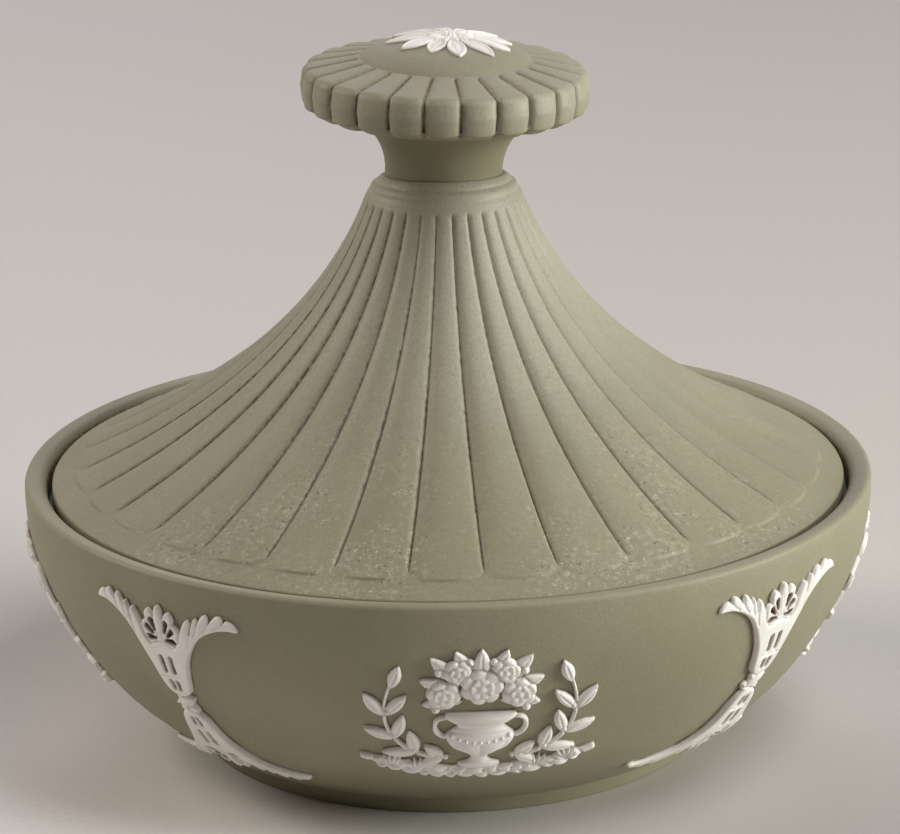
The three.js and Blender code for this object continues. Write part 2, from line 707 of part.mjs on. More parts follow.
place(box, 'bowl', bowlSolid(), stoneware());

const cover = new THREE.Group();
box.add(cover);
place(cover, 'lid', lidSolid(), stoneware()).rotation.z = radians(LID_TURN + 180 / FLUTES);
place(cover, 'knob', knobSolid(), stoneware()).rotation.z = radians(KNOB_TURN + 180 / GADROONS);
place(cover, 'rosette', rosetteSolid(), whiteClay()).rotation.z = radians(ROSETTE_TURN);

const sides = ['front', 'right', 'back', 'left'];
const corners = ['front_right', 'back_right', 'back_left', 'front_left'];
for (let i = 0; i < ORNAMENTS; i += 1) {
  const sheet = wallSheet(360 / ORNAMENTS * (i + 0.5));
  place(box, `ornament_upper_${corners[i]}`, trumpetSolid(sheet), whiteClay());
  place(box, `ornament_tie_${corners[i]}`, tieSolid(sheet), whiteClay());
  place(box, `ornament_lower_${corners[i]}`, trumpetSolid(turnedOver(sheet)), whiteClay());
}
for (let i = 0; i < GROUPS; i += 1) {
  const sheet = wallSheet(360 / GROUPS * i);
  place(box, `urn_${sides[i]}`, urnSolid(sheet), whiteClay());
  place(box, `bouquet_${sides[i]}`, bouquetSolid(sheet), whiteClay());
  place(box, `spray_left_${sides[i]}`, spraySolid(sheet, -1), whiteClay());
  place(box, `spray_right_${sides[i]}`, spraySolid(sheet, 1), whiteClay());
  place(box, `ground_${sides[i]}`, groundSolid(sheet), whiteClay());
}

export default box;
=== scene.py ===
# Looks of the powder box: a stoneware bowl with white moulded reliefs, a fluted lid, and a knob with
# a rosette. Shapes are worked out in millimetres and made in metres. A bearing is the angle round the
# box, from the front (-Y) towards +X. Over the wall, across is to the right of a bearing and down is
# the distance over the wall from the rim.
import math
import random

import bpy
import numpy as np
from mathutils import Matrix, Vector
from mathutils.kdtree import KDTree


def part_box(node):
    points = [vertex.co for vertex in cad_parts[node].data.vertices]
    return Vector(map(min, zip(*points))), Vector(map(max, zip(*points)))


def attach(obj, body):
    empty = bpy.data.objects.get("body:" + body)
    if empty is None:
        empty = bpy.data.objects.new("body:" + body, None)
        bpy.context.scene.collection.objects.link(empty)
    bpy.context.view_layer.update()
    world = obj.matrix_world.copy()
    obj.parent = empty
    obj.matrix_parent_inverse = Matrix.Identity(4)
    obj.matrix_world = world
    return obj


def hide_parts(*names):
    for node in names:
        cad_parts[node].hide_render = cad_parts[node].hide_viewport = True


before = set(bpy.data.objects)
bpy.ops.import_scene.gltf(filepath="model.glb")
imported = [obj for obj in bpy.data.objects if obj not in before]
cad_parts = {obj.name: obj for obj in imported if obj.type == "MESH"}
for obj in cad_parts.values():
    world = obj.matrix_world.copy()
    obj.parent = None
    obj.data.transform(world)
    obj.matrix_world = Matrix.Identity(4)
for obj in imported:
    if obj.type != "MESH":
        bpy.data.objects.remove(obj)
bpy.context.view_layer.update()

MM = 0.001

# Bowl
RIM_RADIUS = 59.85
RIM_HEIGHT = 38.75
WALL_THICKNESS = 3.2
WALL_RINGS = 70
WALL_FOOT_SHARE = 0.985
WELL_RINGS = 26
SHOULDER_DROP = 1.5
BELLY_TOP_POWER = 1.9
BELLY_FOOT_POWER = 1.2
BELLY_FULLNESS = 0.42
BELLY_FULLEST = 11.5
BELLY_SPREAD = 4.5
FOOT_TOP_RADIUS = 36.6
FOOT_TAPER = 0.8
FOOT_HEIGHT = 2.4
FOOT_RING_WIDTH = 2.9
FLOOR_HEIGHT = 5.2
FLOOR_THICKNESS = 3.4
FLOOR_MIDDLE = 12
GAP_TOP_RADIUS = 56.75
GAP_FOOT_RADIUS = 56.7
GALLERY_WIDTH = 5.2
GALLERY_THICKNESS = 2.4
BOWL_COLUMNS = 288

# Lid
FLANGE_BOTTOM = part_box("lid")[0].z / MM
COLLAR_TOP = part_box("lid")[1].z / MM
LID_RIM_GAP = 1.2
LID_EDGE_THICKNESS = 3.2
LID_WALL = 3.6
LID_TOP_RADIUS = 11
LID_RISE = 40
LID_SAG = 5.7
LID_BORDER = 3.2
LID_BORDER_DROP = 0.29
SEAT_GAP = 0.3
FLANGE_GAP = 0.8
FLANGE_THICKNESS = 2.6
FLUTES = 32
FLUTE_ARCH_RISE = 2.4
FLUTE_ARCH_POWER = 3.4
GROOVE_LINE = 0.23
FLUTE_GROOVE = [11, 20, 48], [0.4, 0.45, 0.4]
LID_TURN = -4.5

# Knob
CAP_RADIUS = 19.75
CAP_UNDER = 87.8
CAP_SIDE = 91.4
CAP_SHOULDER = 96.25
DOME_EDGE = 97.8
DOME_RADIUS = 11.75
DOME_RISE = 2.55
DOME_POWER = 3
GADROONS = 24
GADROON_GROOVE = [12, 19], [0.42, 0.55]
NECK_RADIUS = 8.2
KNOB_TURN = -5.3
KNOB_LEAN = 1.7
KNOB_LEAN_BEARING = 86

# Rosette
PETALS = 12
PETAL_TIP_RADIUS = 9
PETAL_BEARINGS = [6, 40.5, 69.6, 96, 125, 156, 187, 216, 243, 268.4, 302.2, 334.3]
PETAL_LENGTHS = [8.2, 8.75, 8.8, 8.9, 8.7, 8.8, 8.5, 8.8, 8.7, 8.95, 8.3, 7.3]
ROSETTE_OFF_CENTRE = 0.5

# Reliefs on the wall
ORNAMENT_BEARING = 44.4
PALMETTE_HEART = 9.15
TIE_AT = 20.35
ORNAMENT_RELIEF = 1.0
URN_TOP = 16.6
URN_HEIGHT = 11.2
URN_HALF_WIDTH = 4.6
URN_RELIEF = 1.7
GROUND_AT = 29.6
GROUND_HALF_WIDTH = 15.5
GROUND_SAG = 3.8
BOUQUET_TOP = 6
BOUQUET_BOTTOM = 16.2
BOUQUET_HALF_WIDTH = 8.3
SPRAY_LEAVES = 4
SPRAY_LEAF_LENGTH = 3.8
SPRAY_LEAF_ANGLE = 38
GROUP_RELIEF = 1.2
RELIEF_STEP = 0.12
RELIEF_ROOT = 0.3
RELIEF_BACK = 0.55
RELIEF_FLANK = 3.5
RELIEF_KEEP = 0.5
HOLE_DIRT_AND_SHADE_WIDTH = 0.3

# Places that several pieces share
lip_inner = 57.2
gallery_inner = lip_inner - GALLERY_WIDTH
gallery_z = 34.8
wall_top = 37.1
lid_radius = lip_inner - LID_RIM_GAP
lid_under = gallery_z + SEAT_GAP
lid_edge = lid_under + LID_EDGE_THICKNESS
lid_top = lid_edge + LID_RISE
flute_end = lid_radius - LID_BORDER


def smooth_step(low, high, value):
    share = np.clip((value - low) / (high - low), 0, 1)
    return share * share * (3 - 2 * share)


# Meshes

def new_object(name, data):
    thing = bpy.data.objects.new(name, data)
    bpy.context.scene.collection.objects.link(thing)
    return thing


def make_piece(name, points, faces, material, body, node):
    mesh = bpy.data.meshes.new(name)
    mesh.from_pydata((np.asarray(points) * MM).tolist(), [], faces)
    mesh.polygons.foreach_set("use_smooth", np.ones(len(mesh.polygons), bool))
    mesh.update()
    mesh.materials.append(material)
    return declare(new_object(name, mesh), body, node)


def declare(piece, body, node):
    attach(piece, body)
    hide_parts(node)
    return piece


def point_values(piece, name, values):
    """Stores one number for each point of a mesh, for its material to read"""
    attribute = piece.data.attributes.new(name, "FLOAT", "POINT")
    attribute.data.foreach_set("value", np.asarray(values, np.float32))


def raised(base, places):
    return [(across, base + rise) for across, rise in places]


def unit(vector):
    return vector / np.linalg.norm(vector)


def rounded(corners, steps=6):
    """The outline through (radius, z, fillet) corners, with each fillet as an arc"""
    out = []
    for i, (x, z, fillet) in enumerate(corners):
        here = np.array((x, z), float)
        if fillet == 0:
            out.append(here)
            continue
        before, after = (unit(corners[j][:2] - here) for j in (i - 1, i + 1))
        half = math.acos(np.clip(before @ after, -1, 1)) / 2
        middle = here + unit(before + after) * fillet / math.sin(half)
        start, end = (here + way * fillet / math.tan(half) - middle for way in (before, after))
        sweep = math.pi - 2 * half
        for share in np.arange(steps + 1) / steps:
            one, other = (math.sin(part * sweep) / math.sin(sweep) for part in (1 - share, share))
            out.append(middle + start * one + end * other)
    return out


def flowing(points, steps):
    """A smooth curve through the points"""
    points = np.asarray(points, float)
    padded = np.vstack([2 * points[0] - points[1], points, 2 * points[-1] - points[-2]])
    out = []
    for i in range(len(points) - 1):
        a, b, c, d = padded[i:i + 4]
        for k in range(steps):
            t = k / steps
            out.append(0.5 * (2 * b + (c - a) * t + (2 * a - 5 * b + 4 * c - d) * t ** 2
                              + (3 * b - 3 * c + d - a) * t ** 3))
    out.append(points[-1])
    return out


def round_grid(radius, z, bearing, first_pole, last_pole):
    """Points and faces of a closed body from rings (rows) and columns round the axis, with a pole at
    each end. radius, z and bearing are arrays with one row for each ring."""
    rings, columns = radius.shape
    x = radius * np.sin(bearing)
    y = -radius * np.cos(bearing)
    points = np.stack([x, y, z], -1).reshape(-1, 3)
    points = np.vstack([points, [(0, 0, first_pole), (0, 0, last_pole)]])
    first = rings * columns
    start = np.arange(columns)
    after = (start + 1) % columns
    faces = []
    for i in range(rings - 1):
        low = i * columns
        high = low + columns
        faces += np.stack([low + start, low + after, high + after, high + start], -1).tolist()
    faces += np.stack([np.full(columns, first), after, start], -1).tolist()
    last = (rings - 1) * columns
    faces += np.stack([np.full(columns, first + 1), last + start, last + after], -1).tolist()
    return points, faces


# Bowl

def wall_outline(share):
    """The bowl's outer wall, from its shoulder at 0 to the top of the foot at 1"""
    swell = (1 - share ** BELLY_TOP_POWER) ** (1 / BELLY_FOOT_POWER)
    radius = FOOT_TOP_RADIUS + (RIM_RADIUS - FOOT_TOP_RADIUS) * swell
    z = wall_top - (wall_top - FOOT_HEIGHT) * share
    fullness = np.exp(-((z - BELLY_FULLEST) / BELLY_SPREAD) ** 2) * smooth_step(FOOT_HEIGHT, 7, z)
    return radius + BELLY_FULLNESS * fullness, z


def wall_table():
    """Down the outer wall: the distance from the rim, the place, and the outward direction"""
    radius, z = wall_outline(wall_shares)
    run = np.hypot(np.diff(radius), np.diff(z))
    travelled = SHOULDER_DROP + np.concatenate([[0], np.cumsum(run)])
    slope_r, slope_z = np.gradient(radius), np.gradient(z)
    size = np.hypot(slope_r, slope_z)
    return travelled, radius, z, -slope_z / size, slope_r / size


wall_shares = np.linspace(0, 0.998, 1500)
wall_places = wall_table()


def wall_sheet(bearing):
    """The place over the wall at a bearing for across, down and lift"""
    def place(across, down, lift):
        radius, z, out, up = (np.interp(down, wall_places[0], values) for values in wall_places[1:])
        angle = math.radians(bearing) + across / radius
        reach = radius + lift * out
        return np.stack([reach * np.sin(angle), -reach * np.cos(angle), z + lift * up], -1)
    return place


def bowl_rings():
    foot_radius = FOOT_TOP_RADIUS - FOOT_TAPER
    ring_inner = foot_radius - FOOT_RING_WIDTH
    under = FLOOR_HEIGHT - FLOOR_THICKNESS
    shares = 1 - (1 - np.linspace(0, WALL_FOOT_SHARE, WALL_RINGS)) ** 1.25
    wall = [wall_outline(share) for share in np.minimum(shares, WALL_FOOT_SHARE)[::-1]]
    well = []
    for share in np.linspace(0.32, 0.86, WELL_RINGS):
        radius, z, out, up = (np.interp(share, wall_shares, values) for values in wall_places[1:])
        well.append((radius - WALL_THICKNESS * out, z - WALL_THICKNESS * up))
    foot = rounded([
        (FLOOR_MIDDLE, under, 0),
        (ring_inner - 1.2, under, 0.9),
        (ring_inner, 0, 0.5),
        (foot_radius, 0, 0.45),
        (FOOT_TOP_RADIUS, FOOT_HEIGHT, 0.5),
        (*wall[0], 0),
    ])[:-1]
    top = rounded([
        (RIM_RADIUS, wall_top - 1, 0),
        (RIM_RADIUS, RIM_HEIGHT + 0.04, 0.75),
        (GAP_TOP_RADIUS, RIM_HEIGHT - 0.45, 1.5),
        (GAP_FOOT_RADIUS, gallery_z, 0.4),
        (gallery_inner, gallery_z, 0.8),
        (gallery_inner, gallery_z - GALLERY_THICKNESS, 0.8),
        (*well[0], 0),
    ])[1:-1]
    floor = rounded([
        (*well[-1], 0),
        (FOOT_TOP_RADIUS - WALL_THICKNESS, FLOOR_HEIGHT, 4),
        (FLOOR_MIDDLE, FLOOR_HEIGHT, 0),
    ], 10)[1:-1]
    middle = [(radius, FLOOR_HEIGHT) for radius in (2 * FLOOR_MIDDLE, FLOOR_MIDDLE)]
    return np.array([*foot, *wall, *top, *well, *floor, *middle]), under


def make_bowl(material):
    rings, under = bowl_rings()
    bearing = np.linspace(0, 2 * math.pi, BOWL_COLUMNS, endpoint=False)
    radius, z = (np.repeat(rings[:, i:i + 1], BOWL_COLUMNS, 1) for i in (0, 1))
    points, faces = round_grid(radius, z, np.tile(bearing, (len(rings), 1)), under, FLOOR_HEIGHT)
    bowl = make_piece("bowl_ware", points, faces, material, "box", "bowl")
    # Painted shadow with some grime, down in the gap between the lid and the rim's inner wall.
    in_gap = smooth_step(GAP_TOP_RADIUS + 0.55, GAP_TOP_RADIUS + 0.2, np.hypot(*points.T[:2]))
    in_gap = in_gap * smooth_step(RIM_HEIGHT - 0.8, RIM_HEIGHT - 1.4, points[:, 2])
    in_gap = in_gap * smooth_step(gallery_z + 0.3, gallery_z + 1.3, points[:, 2])
    point_values(bowl, "crevice", 0.7 * in_gap)


# Lid

def lid_height(radius):
    share = np.log(radius / LID_TOP_RADIUS) / math.log(lid_radius / LID_TOP_RADIUS)
    return lid_top - LID_RISE * share - LID_SAG * share * np.maximum(1 - share, 0) ** 3


def lid_slope(radius):
    slope = (lid_height(radius + 0.05) - lid_height(radius - 0.05)) / 0.1
    run = np.hypot(1, slope)
    return -slope / run, 1 / run


def lobe_columns(radius, lobes, groove_half):
    """Distances from a groove's middle to the columns of one lobe, with more columns in the groove.
    One row for each ring. Also gives half the lobe's width and half the groove's."""
    half_lobe = math.pi * radius / lobes
    half_groove = np.minimum(groove_half, half_lobe * 0.3)
    in_groove = np.array([0, 0.18, 0.4, 0.7, 1.1])
    beyond = np.array([0.1, 0.22, 0.38, 0.6, 0.8, 1])
    near = half_groove[:, None] * in_groove
    rest = near[:, -1:] + (half_lobe[:, None] - near[:, -1:]) * beyond
    half = np.hstack([near, rest])
    whole = np.hstack([half, 2 * half_lobe[:, None] - half[:, -2:0:-1]])
    return whole, half_lobe[:, None], half_groove[:, None]


def lobed_body(rings, lobes, turn, groove, push, poles):
    """A turned body whose lobes are pushed out by push(rings, place across the lobe from -1 to 1,
    distance from the groove, half lobe, half groove). rings has columns radius, z, outward radius,
    outward z. groove gives radii, and half the groove's width at each."""
    radius, z, out, up = rings.T
    offsets, half_lobe, half_groove = lobe_columns(radius, lobes, np.interp(radius, *groove))
    from_groove = np.minimum(offsets, 2 * half_lobe - offsets)
    lift, crevice = push(rings, offsets / half_lobe - 1, from_groove, half_lobe, half_groove)
    per_lobe = offsets.shape[1]
    bearing = offsets / radius[:, None]
    starts = math.radians(turn + 180 / lobes) + np.arange(lobes) * 2 * math.pi / lobes
    bearing = (bearing[:, None, :] + starts[None, :, None]).reshape(len(rings), lobes * per_lobe)
    lift = np.tile(lift, (1, lobes))
    grid_radius = radius[:, None] + lift * out[:, None]
    grid_z = z[:, None] + lift * up[:, None]
    points, faces = round_grid(grid_radius, grid_z, bearing, *poles)
    crevice = np.concatenate([np.tile(crevice, (1, lobes)).ravel(), [0, 0]])
    return points, faces, crevice


def with_normals(places):
    """Adds the outward direction to each (radius, z) place of an outline that runs anticlockwise"""
    places = np.array(places)
    along = np.gradient(places, axis=0)
    along /= np.linalg.norm(along, axis=1)[:, None]
    return np.hstack([places, np.stack([along[:, 1], -along[:, 0]], -1)])


def lid_rings():
    flange_outer = gallery_inner - FLANGE_GAP
    flange_inner = flange_outer - FLANGE_THICKNESS
    inside_radii = LID_TOP_RADIUS * (flute_end / LID_TOP_RADIUS) ** np.linspace(0.1, 0.94, 24)
    out, up = lid_slope(inside_radii)
    inside = np.stack([inside_radii - LID_WALL * out, lid_height(inside_radii) - LID_WALL * up], -1)
    inside = inside[inside[:, 0] < flange_inner - 1]
    peak = inside[0][1] + 2.4
    under = flowing([(2.5, peak - 0.3), *inside], 2)
    skirt = rounded([
        (*under[-1], 0),
        (flange_inner, lid_under + 0.4, 2.5),
        (flange_inner, FLANGE_BOTTOM, 0.7),
        (flange_outer, FLANGE_BOTTOM, 0.7),
        (flange_outer, lid_under, 0.5),
        (lid_radius, lid_under, 0.7),
        (lid_radius, lid_height(lid_radius) - LID_BORDER_DROP, 0.45),
        (lid_radius - 1.4, lid_height(lid_radius - 1.4) - LID_BORDER_DROP, 0),
    ])[1:]
    border = np.linspace(lid_radius - 1.6, flute_end + 0.5, 4)
    ends = np.linspace(flute_end + 0.2, flute_end - FLUTE_ARCH_RISE - 0.8, 30)
    shares = np.linspace(0, 1, 56) ** 1.15
    sweep = ends[-1] * (11.9 / ends[-1]) ** shares
    start = np.array([11.75, 11.6, 11.45, 11.33, 11.22, 11.12, 11.02])
    radii = np.concatenate([border, ends[:-1], sweep, start])
    top = np.stack([radii, lid_height(radii)], -1)
    collar = flowing(raised(COLLAR_TOP, [
        (10.9, -3.4), (10.68, -2.95), (10.42, -2.62), (10.32, -2.42), (10.26, -2.1), (10.02, -1.75),
        (9.6, -1.5), (9.44, -1.4), (9.28, -1.12), (8.98, -0.82), (8.6, -0.6), (8.25, -0.64),
        (7.6, -0.7),
    ]), 3)
    rings = with_normals([*under, *skirt, *top, *collar])
    first_flute = len(under) + len(skirt)
    fluted = slice(first_flute, first_flute + len(top))
    rings[fluted, 2:] = np.stack(lid_slope(radii), -1)
    strength = np.zeros(len(rings))
    strength[fluted] = 1
    return rings, strength, peak


def flute_push(strength):
    def push(rings, place, from_groove, half_lobe, half_groove):
        radius = rings[:, :1]
        from_middle = half_lobe - from_groove
        bend = np.clip(1 - (from_middle / half_lobe) ** FLUTE_ARCH_POWER, 0, 1)
        arch = FLUTE_ARCH_RISE * (1 - np.sqrt(bend))
        to_end = flute_end - arch - radius
        panel = smooth_step(-0.1, 0.28, to_end)
        start = smooth_step(10.98, 11.25, radius)
        border = -LID_BORDER_DROP * (1 - panel)
        sag = np.interp(radius, [11, 18, 30, 42, 50], [0.15, 0.25, 0.36, 0.32, 0.16])
        shoulder = sag * 0.7 * smooth_step(-0.3, -1, place)
        crown = -(sag * place ** 2 + shoulder) * panel * start
        fade = smooth_step(-1.0, 0.6, flute_end - FLUTE_ARCH_RISE - radius)
        depth = np.interp(radius, [11, 20, 48], [0.06, 0.12, 0.34]) * fade * start
        valley = np.clip(1 - from_groove / half_groove, 0, 1) ** 1.15
        lift = border + crown - depth * valley
        # Groove darkening for the material: grime with painted shade, weaker towards the knob.
        dirt_and_shade_share = np.interp(radius, [11, 20, 34], [0.25, 0.5, 1])
        crevice = np.clip(1 - from_groove / GROOVE_LINE, 0, 1) * fade * start * dirt_and_shade_share
        return lift * strength[:, None], crevice * strength[:, None]
    return push


def raise_collar_front(points):
    """The collar was cut a little crooked: it is higher at the front than at the back"""
    radius = np.hypot(points[:, 0], points[:, 1])
    share = np.interp(radius, [0.5, 8.3, 9.3, 10, 10.3, 10.6, 10.9], [0, 0.9, 0.66, 0.45, 0.3, 0.14, 0])
    front = -points[:, 1] / np.maximum(radius, 0.1)
    points[:, 2] += share * front * (points[:, 2] > lid_top)


def make_lid(material):
    rings, strength, peak = lid_rings()
    points, faces, crevice = lobed_body(
        rings, FLUTES, LID_TURN, FLUTE_GROOVE, flute_push(strength), (peak, COLLAR_TOP - 0.7))
    raise_collar_front(points)
    lid = make_piece("lid_ware", points, faces, material, "cover", "lid")
    # Painted shadow with some grime, on the lower part of the lid's edge down in the gap.
    in_gap = smooth_step(lid_radius - 0.15, lid_radius - 0.05, np.hypot(*points.T[:2]))
    in_gap = 0.55 * in_gap * smooth_step(lid_edge - 0.5, lid_edge - 0.9, points[:, 2])
    point_values(lid, "crevice", np.maximum(crevice, in_gap))


# Knob

def knob_rings():
    neck = flowing([
        *raised(COLLAR_TOP, [
            (NECK_RADIUS, -2.4), (NECK_RADIUS, -1.2), (NECK_RADIUS, -0.3), (NECK_RADIUS, 0.6),
            (8.25, 1.1), (8.45, 2.2), (8.84, 3.4), (9.45, 4.6),
        ]),
        *raised(CAP_UNDER, [(10.37, -0.2), (11.9, 0.95), (14.2, 1.85), (16.6, 2.4), (18.0, 2.72)]),
    ], 4)
    slope_ends = (CAP_RADIUS - 0.3, CAP_SHOULDER), (DOME_RADIUS + 0.3, DOME_EDGE - 0.12)
    cap = rounded([
        (18.0, CAP_UNDER + 2.72, 0),
        (CAP_RADIUS - 0.35, CAP_SIDE, 0.35),
        (CAP_RADIUS, CAP_SIDE + 2.2, 3),
        (*slope_ends[0], 1.1),
        (*slope_ends[1], 0),
    ], 8)[1:-1]
    slope_radii = (18.0, 17.2, 16.4, 15.6, 14.8, 14.1, 13.5, 13.0, 12.7, 12.5, 12.35, 12.2, 12.05)
    slope = [(radius, np.interp(radius, *zip(*slope_ends[::-1]))) for radius in slope_radii]
    disc = raised(DOME_EDGE, [(11.93, -0.08), (11.82, -0.02), (11.7, 0.08)])
    dome_radii = (11.5, 11.15, 10.7, 10.1, 9.4, 8.6, 7.6, 6.4, 5, 3.4, 1.8)
    dome = [(radius, dome_height(radius) + 0.08) for radius in dome_radii]
    rings = with_normals([*neck, *cap, *slope, *disc, *dome])
    side = len(neck)
    strength = np.zeros(len(rings))
    strength[side:side + len(cap) + len(slope)] = 1
    strength[side - 3:side] = (0.05, 0.2, 0.5)
    strength[side:side + 4] = (0.65, 0.75, 0.85, 0.95)
    return rings, strength


def dome_height(radius):
    return DOME_EDGE + DOME_RISE * (1 - (radius / DOME_RADIUS) ** DOME_POWER)


def leaning(points):
    """Turns points a little about the neck's base: the knob was put on slightly crooked"""
    bearing = math.radians(KNOB_LEAN_BEARING)
    axis = Vector((math.cos(bearing), math.sin(bearing), 0))
    turn = np.array(Matrix.Rotation(math.radians(KNOB_LEAN), 3, axis))
    base = np.array((0, 0, COLLAR_TOP))
    return (np.asarray(points) - base) @ turn.T + base


def gadroon_push(strength):
    def push(rings, place, from_groove, half_lobe, half_groove):
        radius = rings[:, :1]
        up = rings[:, 3:]
        from_middle = half_lobe - from_groove
        on_top = np.clip(up, 0, 1)
        ends = 1 - smooth_step(0.5, 1, on_top) * (1 - smooth_step(11.95, 12.4, radius))
        crown = (0.62 - 0.32 * on_top) * (1 - np.abs(from_middle / half_lobe) ** 2.6)
        depth = 0.4 - 0.1 * on_top
        valley = np.clip(1 - from_groove / half_groove, 0, 1) ** 1.3
        lift = (crown - 0.25 * (1 - on_top) - 0.2 * on_top - depth * valley) * ends
        # Groove darkening for the material: grime with painted shade.
        crevice = np.clip(1 - from_groove / (half_groove * 0.55), 0, 1) * ends
        return lift * strength[:, None], crevice * strength[:, None]
    return push


def make_knob(material):
    rings, strength = knob_rings()
    points, faces, crevice = lobed_body(
        rings, GADROONS, KNOB_TURN, GADROON_GROOVE, gadroon_push(strength),
        (COLLAR_TOP - 2.4, dome_height(0) + 0.08))
    knob = make_piece("knob_ware", leaning(points), faces, material, "cover", "knob")
    point_values(knob, "crevice", crevice)


# Reliefs: a height in millimetres over a sheet, built up from shapes

def domed(inward, low):
    """A round profile: low at the edge, where inward is 0, and 1 from where inward is 1"""
    return low + (1 - low) * np.sqrt(1 - (1 - np.clip(inward, 0, 1)) ** 2)


class Relief:
    """Shapes are (inside, height): the distance in from the outline, and the height where it is
    above 0."""

    def __init__(self, left, right, top, bottom):
        across = np.arange(left, right + RELIEF_STEP, RELIEF_STEP)
        down = np.arange(top, bottom + RELIEF_STEP, RELIEF_STEP)
        self.across, self.down = np.meshgrid(across, down)
        self.height = np.full(self.across.shape, -1.0)
        self.hole = np.zeros(self.across.shape)

    def add(self, shape):
        """Blends a shape in: the higher of the two shows"""
        inside, height = shape
        self.height = np.maximum(self.height, np.where(inside > 0, height, inside * RELIEF_FLANK))

    def lay(self, shape, moat=0.2, keep=0.6):
        """Lays a shape over what is there, and presses that down close to its edge"""
        inside, height = shape
        share = keep + (1 - keep) * np.clip(-inside / moat, 0, 1)
        below = np.where(self.height > 0, self.height * share, self.height)
        over = np.maximum(height, below * 0.6)
        self.height = np.where(inside > 0, over, np.maximum(below, inside * RELIEF_FLANK))

    def slot(self, points, halves):
        """Cuts a slot along points through to the wall"""
        inside = self.stroke(points, halves, 1)[0]
        self.height = np.minimum(self.height, -inside * RELIEF_FLANK)
        # Marks the slot's edges for browning: grime with painted shade.
        self.hole = np.maximum(self.hole, smooth_step(-HOLE_DIRT_AND_SHADE_WIDTH, -0.12, inside))

    def crease(self, points, half, depth):
        """Presses a soft line into what stands above the wall"""
        inside = self.stroke(points, [half] * len(points), 1)[0]
        pressed = np.maximum(self.height - depth * np.clip(inside / half, 0, 1), 0.05)
        self.height = np.where(self.height > 0, pressed, self.height)

    # Shapes on the relief's own grid

    def leaf(self, base, tip, half, rise, bulge=0.5, vein=0.12, edge=0.8):
        """A pointed leaf, widest at the share bulge of its length, with a sunk vein"""
        way = np.subtract(tip, base, dtype=float)
        length = np.hypot(*way)
        x = self.across - base[0]
        y = self.down - base[1]
        share = (x * way[0] + y * way[1]) / length ** 2
        aside = (x * way[1] - y * way[0]) / length
        on = np.clip(share, 0, 1)
        width = half * np.sin(math.pi * on ** (math.log(0.5) / math.log(bulge))) ** 0.8
        beyond = np.maximum(-share, 0) + np.maximum(share - 1, 0)
        inside = width - np.abs(aside) - beyond * length
        height = rise * domed(inside / (half * edge), 0.25)
        return inside, height - vein * np.exp(-(aside / 0.14) ** 2) * (on < 0.9)

    def stroke(self, points, halves, rise, round_share=1.0):
        """A rounded band along points, with a half width at each"""
        best = np.full(self.across.shape, -9.0)
        width = np.full(self.across.shape, 1.0)
        for a, b, wide, narrow in zip(points, points[1:], halves, halves[1:]):
            way = np.subtract(b, a, dtype=float)
            x = self.across - a[0]
            y = self.down - a[1]
            share = np.clip((x * way[0] + y * way[1]) / (way @ way), 0, 1)
            half = wide + (narrow - wide) * share
            inside = half - np.hypot(x - way[0] * share, y - way[1] * share)
            width = np.where(inside > best, half, width)
            best = np.maximum(inside, best)
        return best, rise * domed(best / (width * round_share), 0.2)

    def patch(self, outline, rise, rounding):
        """An area inside a closed outline, with a rounded edge"""
        away = np.full(self.across.shape, 99.0)
        within = np.zeros(self.across.shape, bool)
        for (ax, ay), (bx, by) in zip(outline, np.roll(outline, -1, axis=0)):
            x = self.across - ax
            y = self.down - ay
            size = max((bx - ax) ** 2 + (by - ay) ** 2, 1e-9)
            share = np.clip((x * (bx - ax) + y * (by - ay)) / size, 0, 1)
            away = np.minimum(away, np.hypot(x - (bx - ax) * share, y - (by - ay) * share))
            if ay != by:
                meets = ax + y * (bx - ax) / (by - ay)
                within ^= ((ay > self.down) != (by > self.down)) & (self.across < meets)
        inside = np.where(within, away, -away)
        return inside, rise * domed(inside / rounding, 0.3)

    def ball(self, centre, radius, rise, tall=1.0):
        away = np.hypot(self.across - centre[0], (self.down - centre[1]) / tall)
        return radius - away, rise * domed(1 - away / radius, 0.15)

    def bloom(self, centre, radius, petals, rise, turn):
        """A round flower head: two rings of cupped petals round a button"""
        x = self.across - centre[0]
        y = self.down - centre[1]
        away = np.hypot(x, y)
        angle = np.arctan2(y, x) - math.radians(turn)
        outer = np.abs(np.cos(petals / 2 * angle))
        edge = radius * (0.84 + 0.16 * outer ** 0.5)
        inside = edge - away
        share = np.clip(away / edge, 0, 1)
        cup = 0.55 + 0.3 * np.sqrt(share) - 0.1 * share ** 6
        height = rise * (cup - 0.28 * (1 - outer ** 0.35))
        height = height * (0.35 + 0.65 * np.sqrt(np.clip(inside / 0.3, 0, 1)))
        inner = np.abs(np.cos(petals / 2 * angle + math.pi / 2))
        inner_edge = radius * 0.56 * (0.8 + 0.2 * inner ** 0.5)
        inner_share = np.clip(away / inner_edge, 0, 1)
        raised_petals = rise * (0.72 + 0.28 * inner_share - 0.2 * (1 - inner ** 0.4))
        height = np.where(away < inner_edge, raised_petals, height)
        button = radius * 0.22
        return inside, np.where(away < button, rise * domed(1 - away / button, 0.7), height)


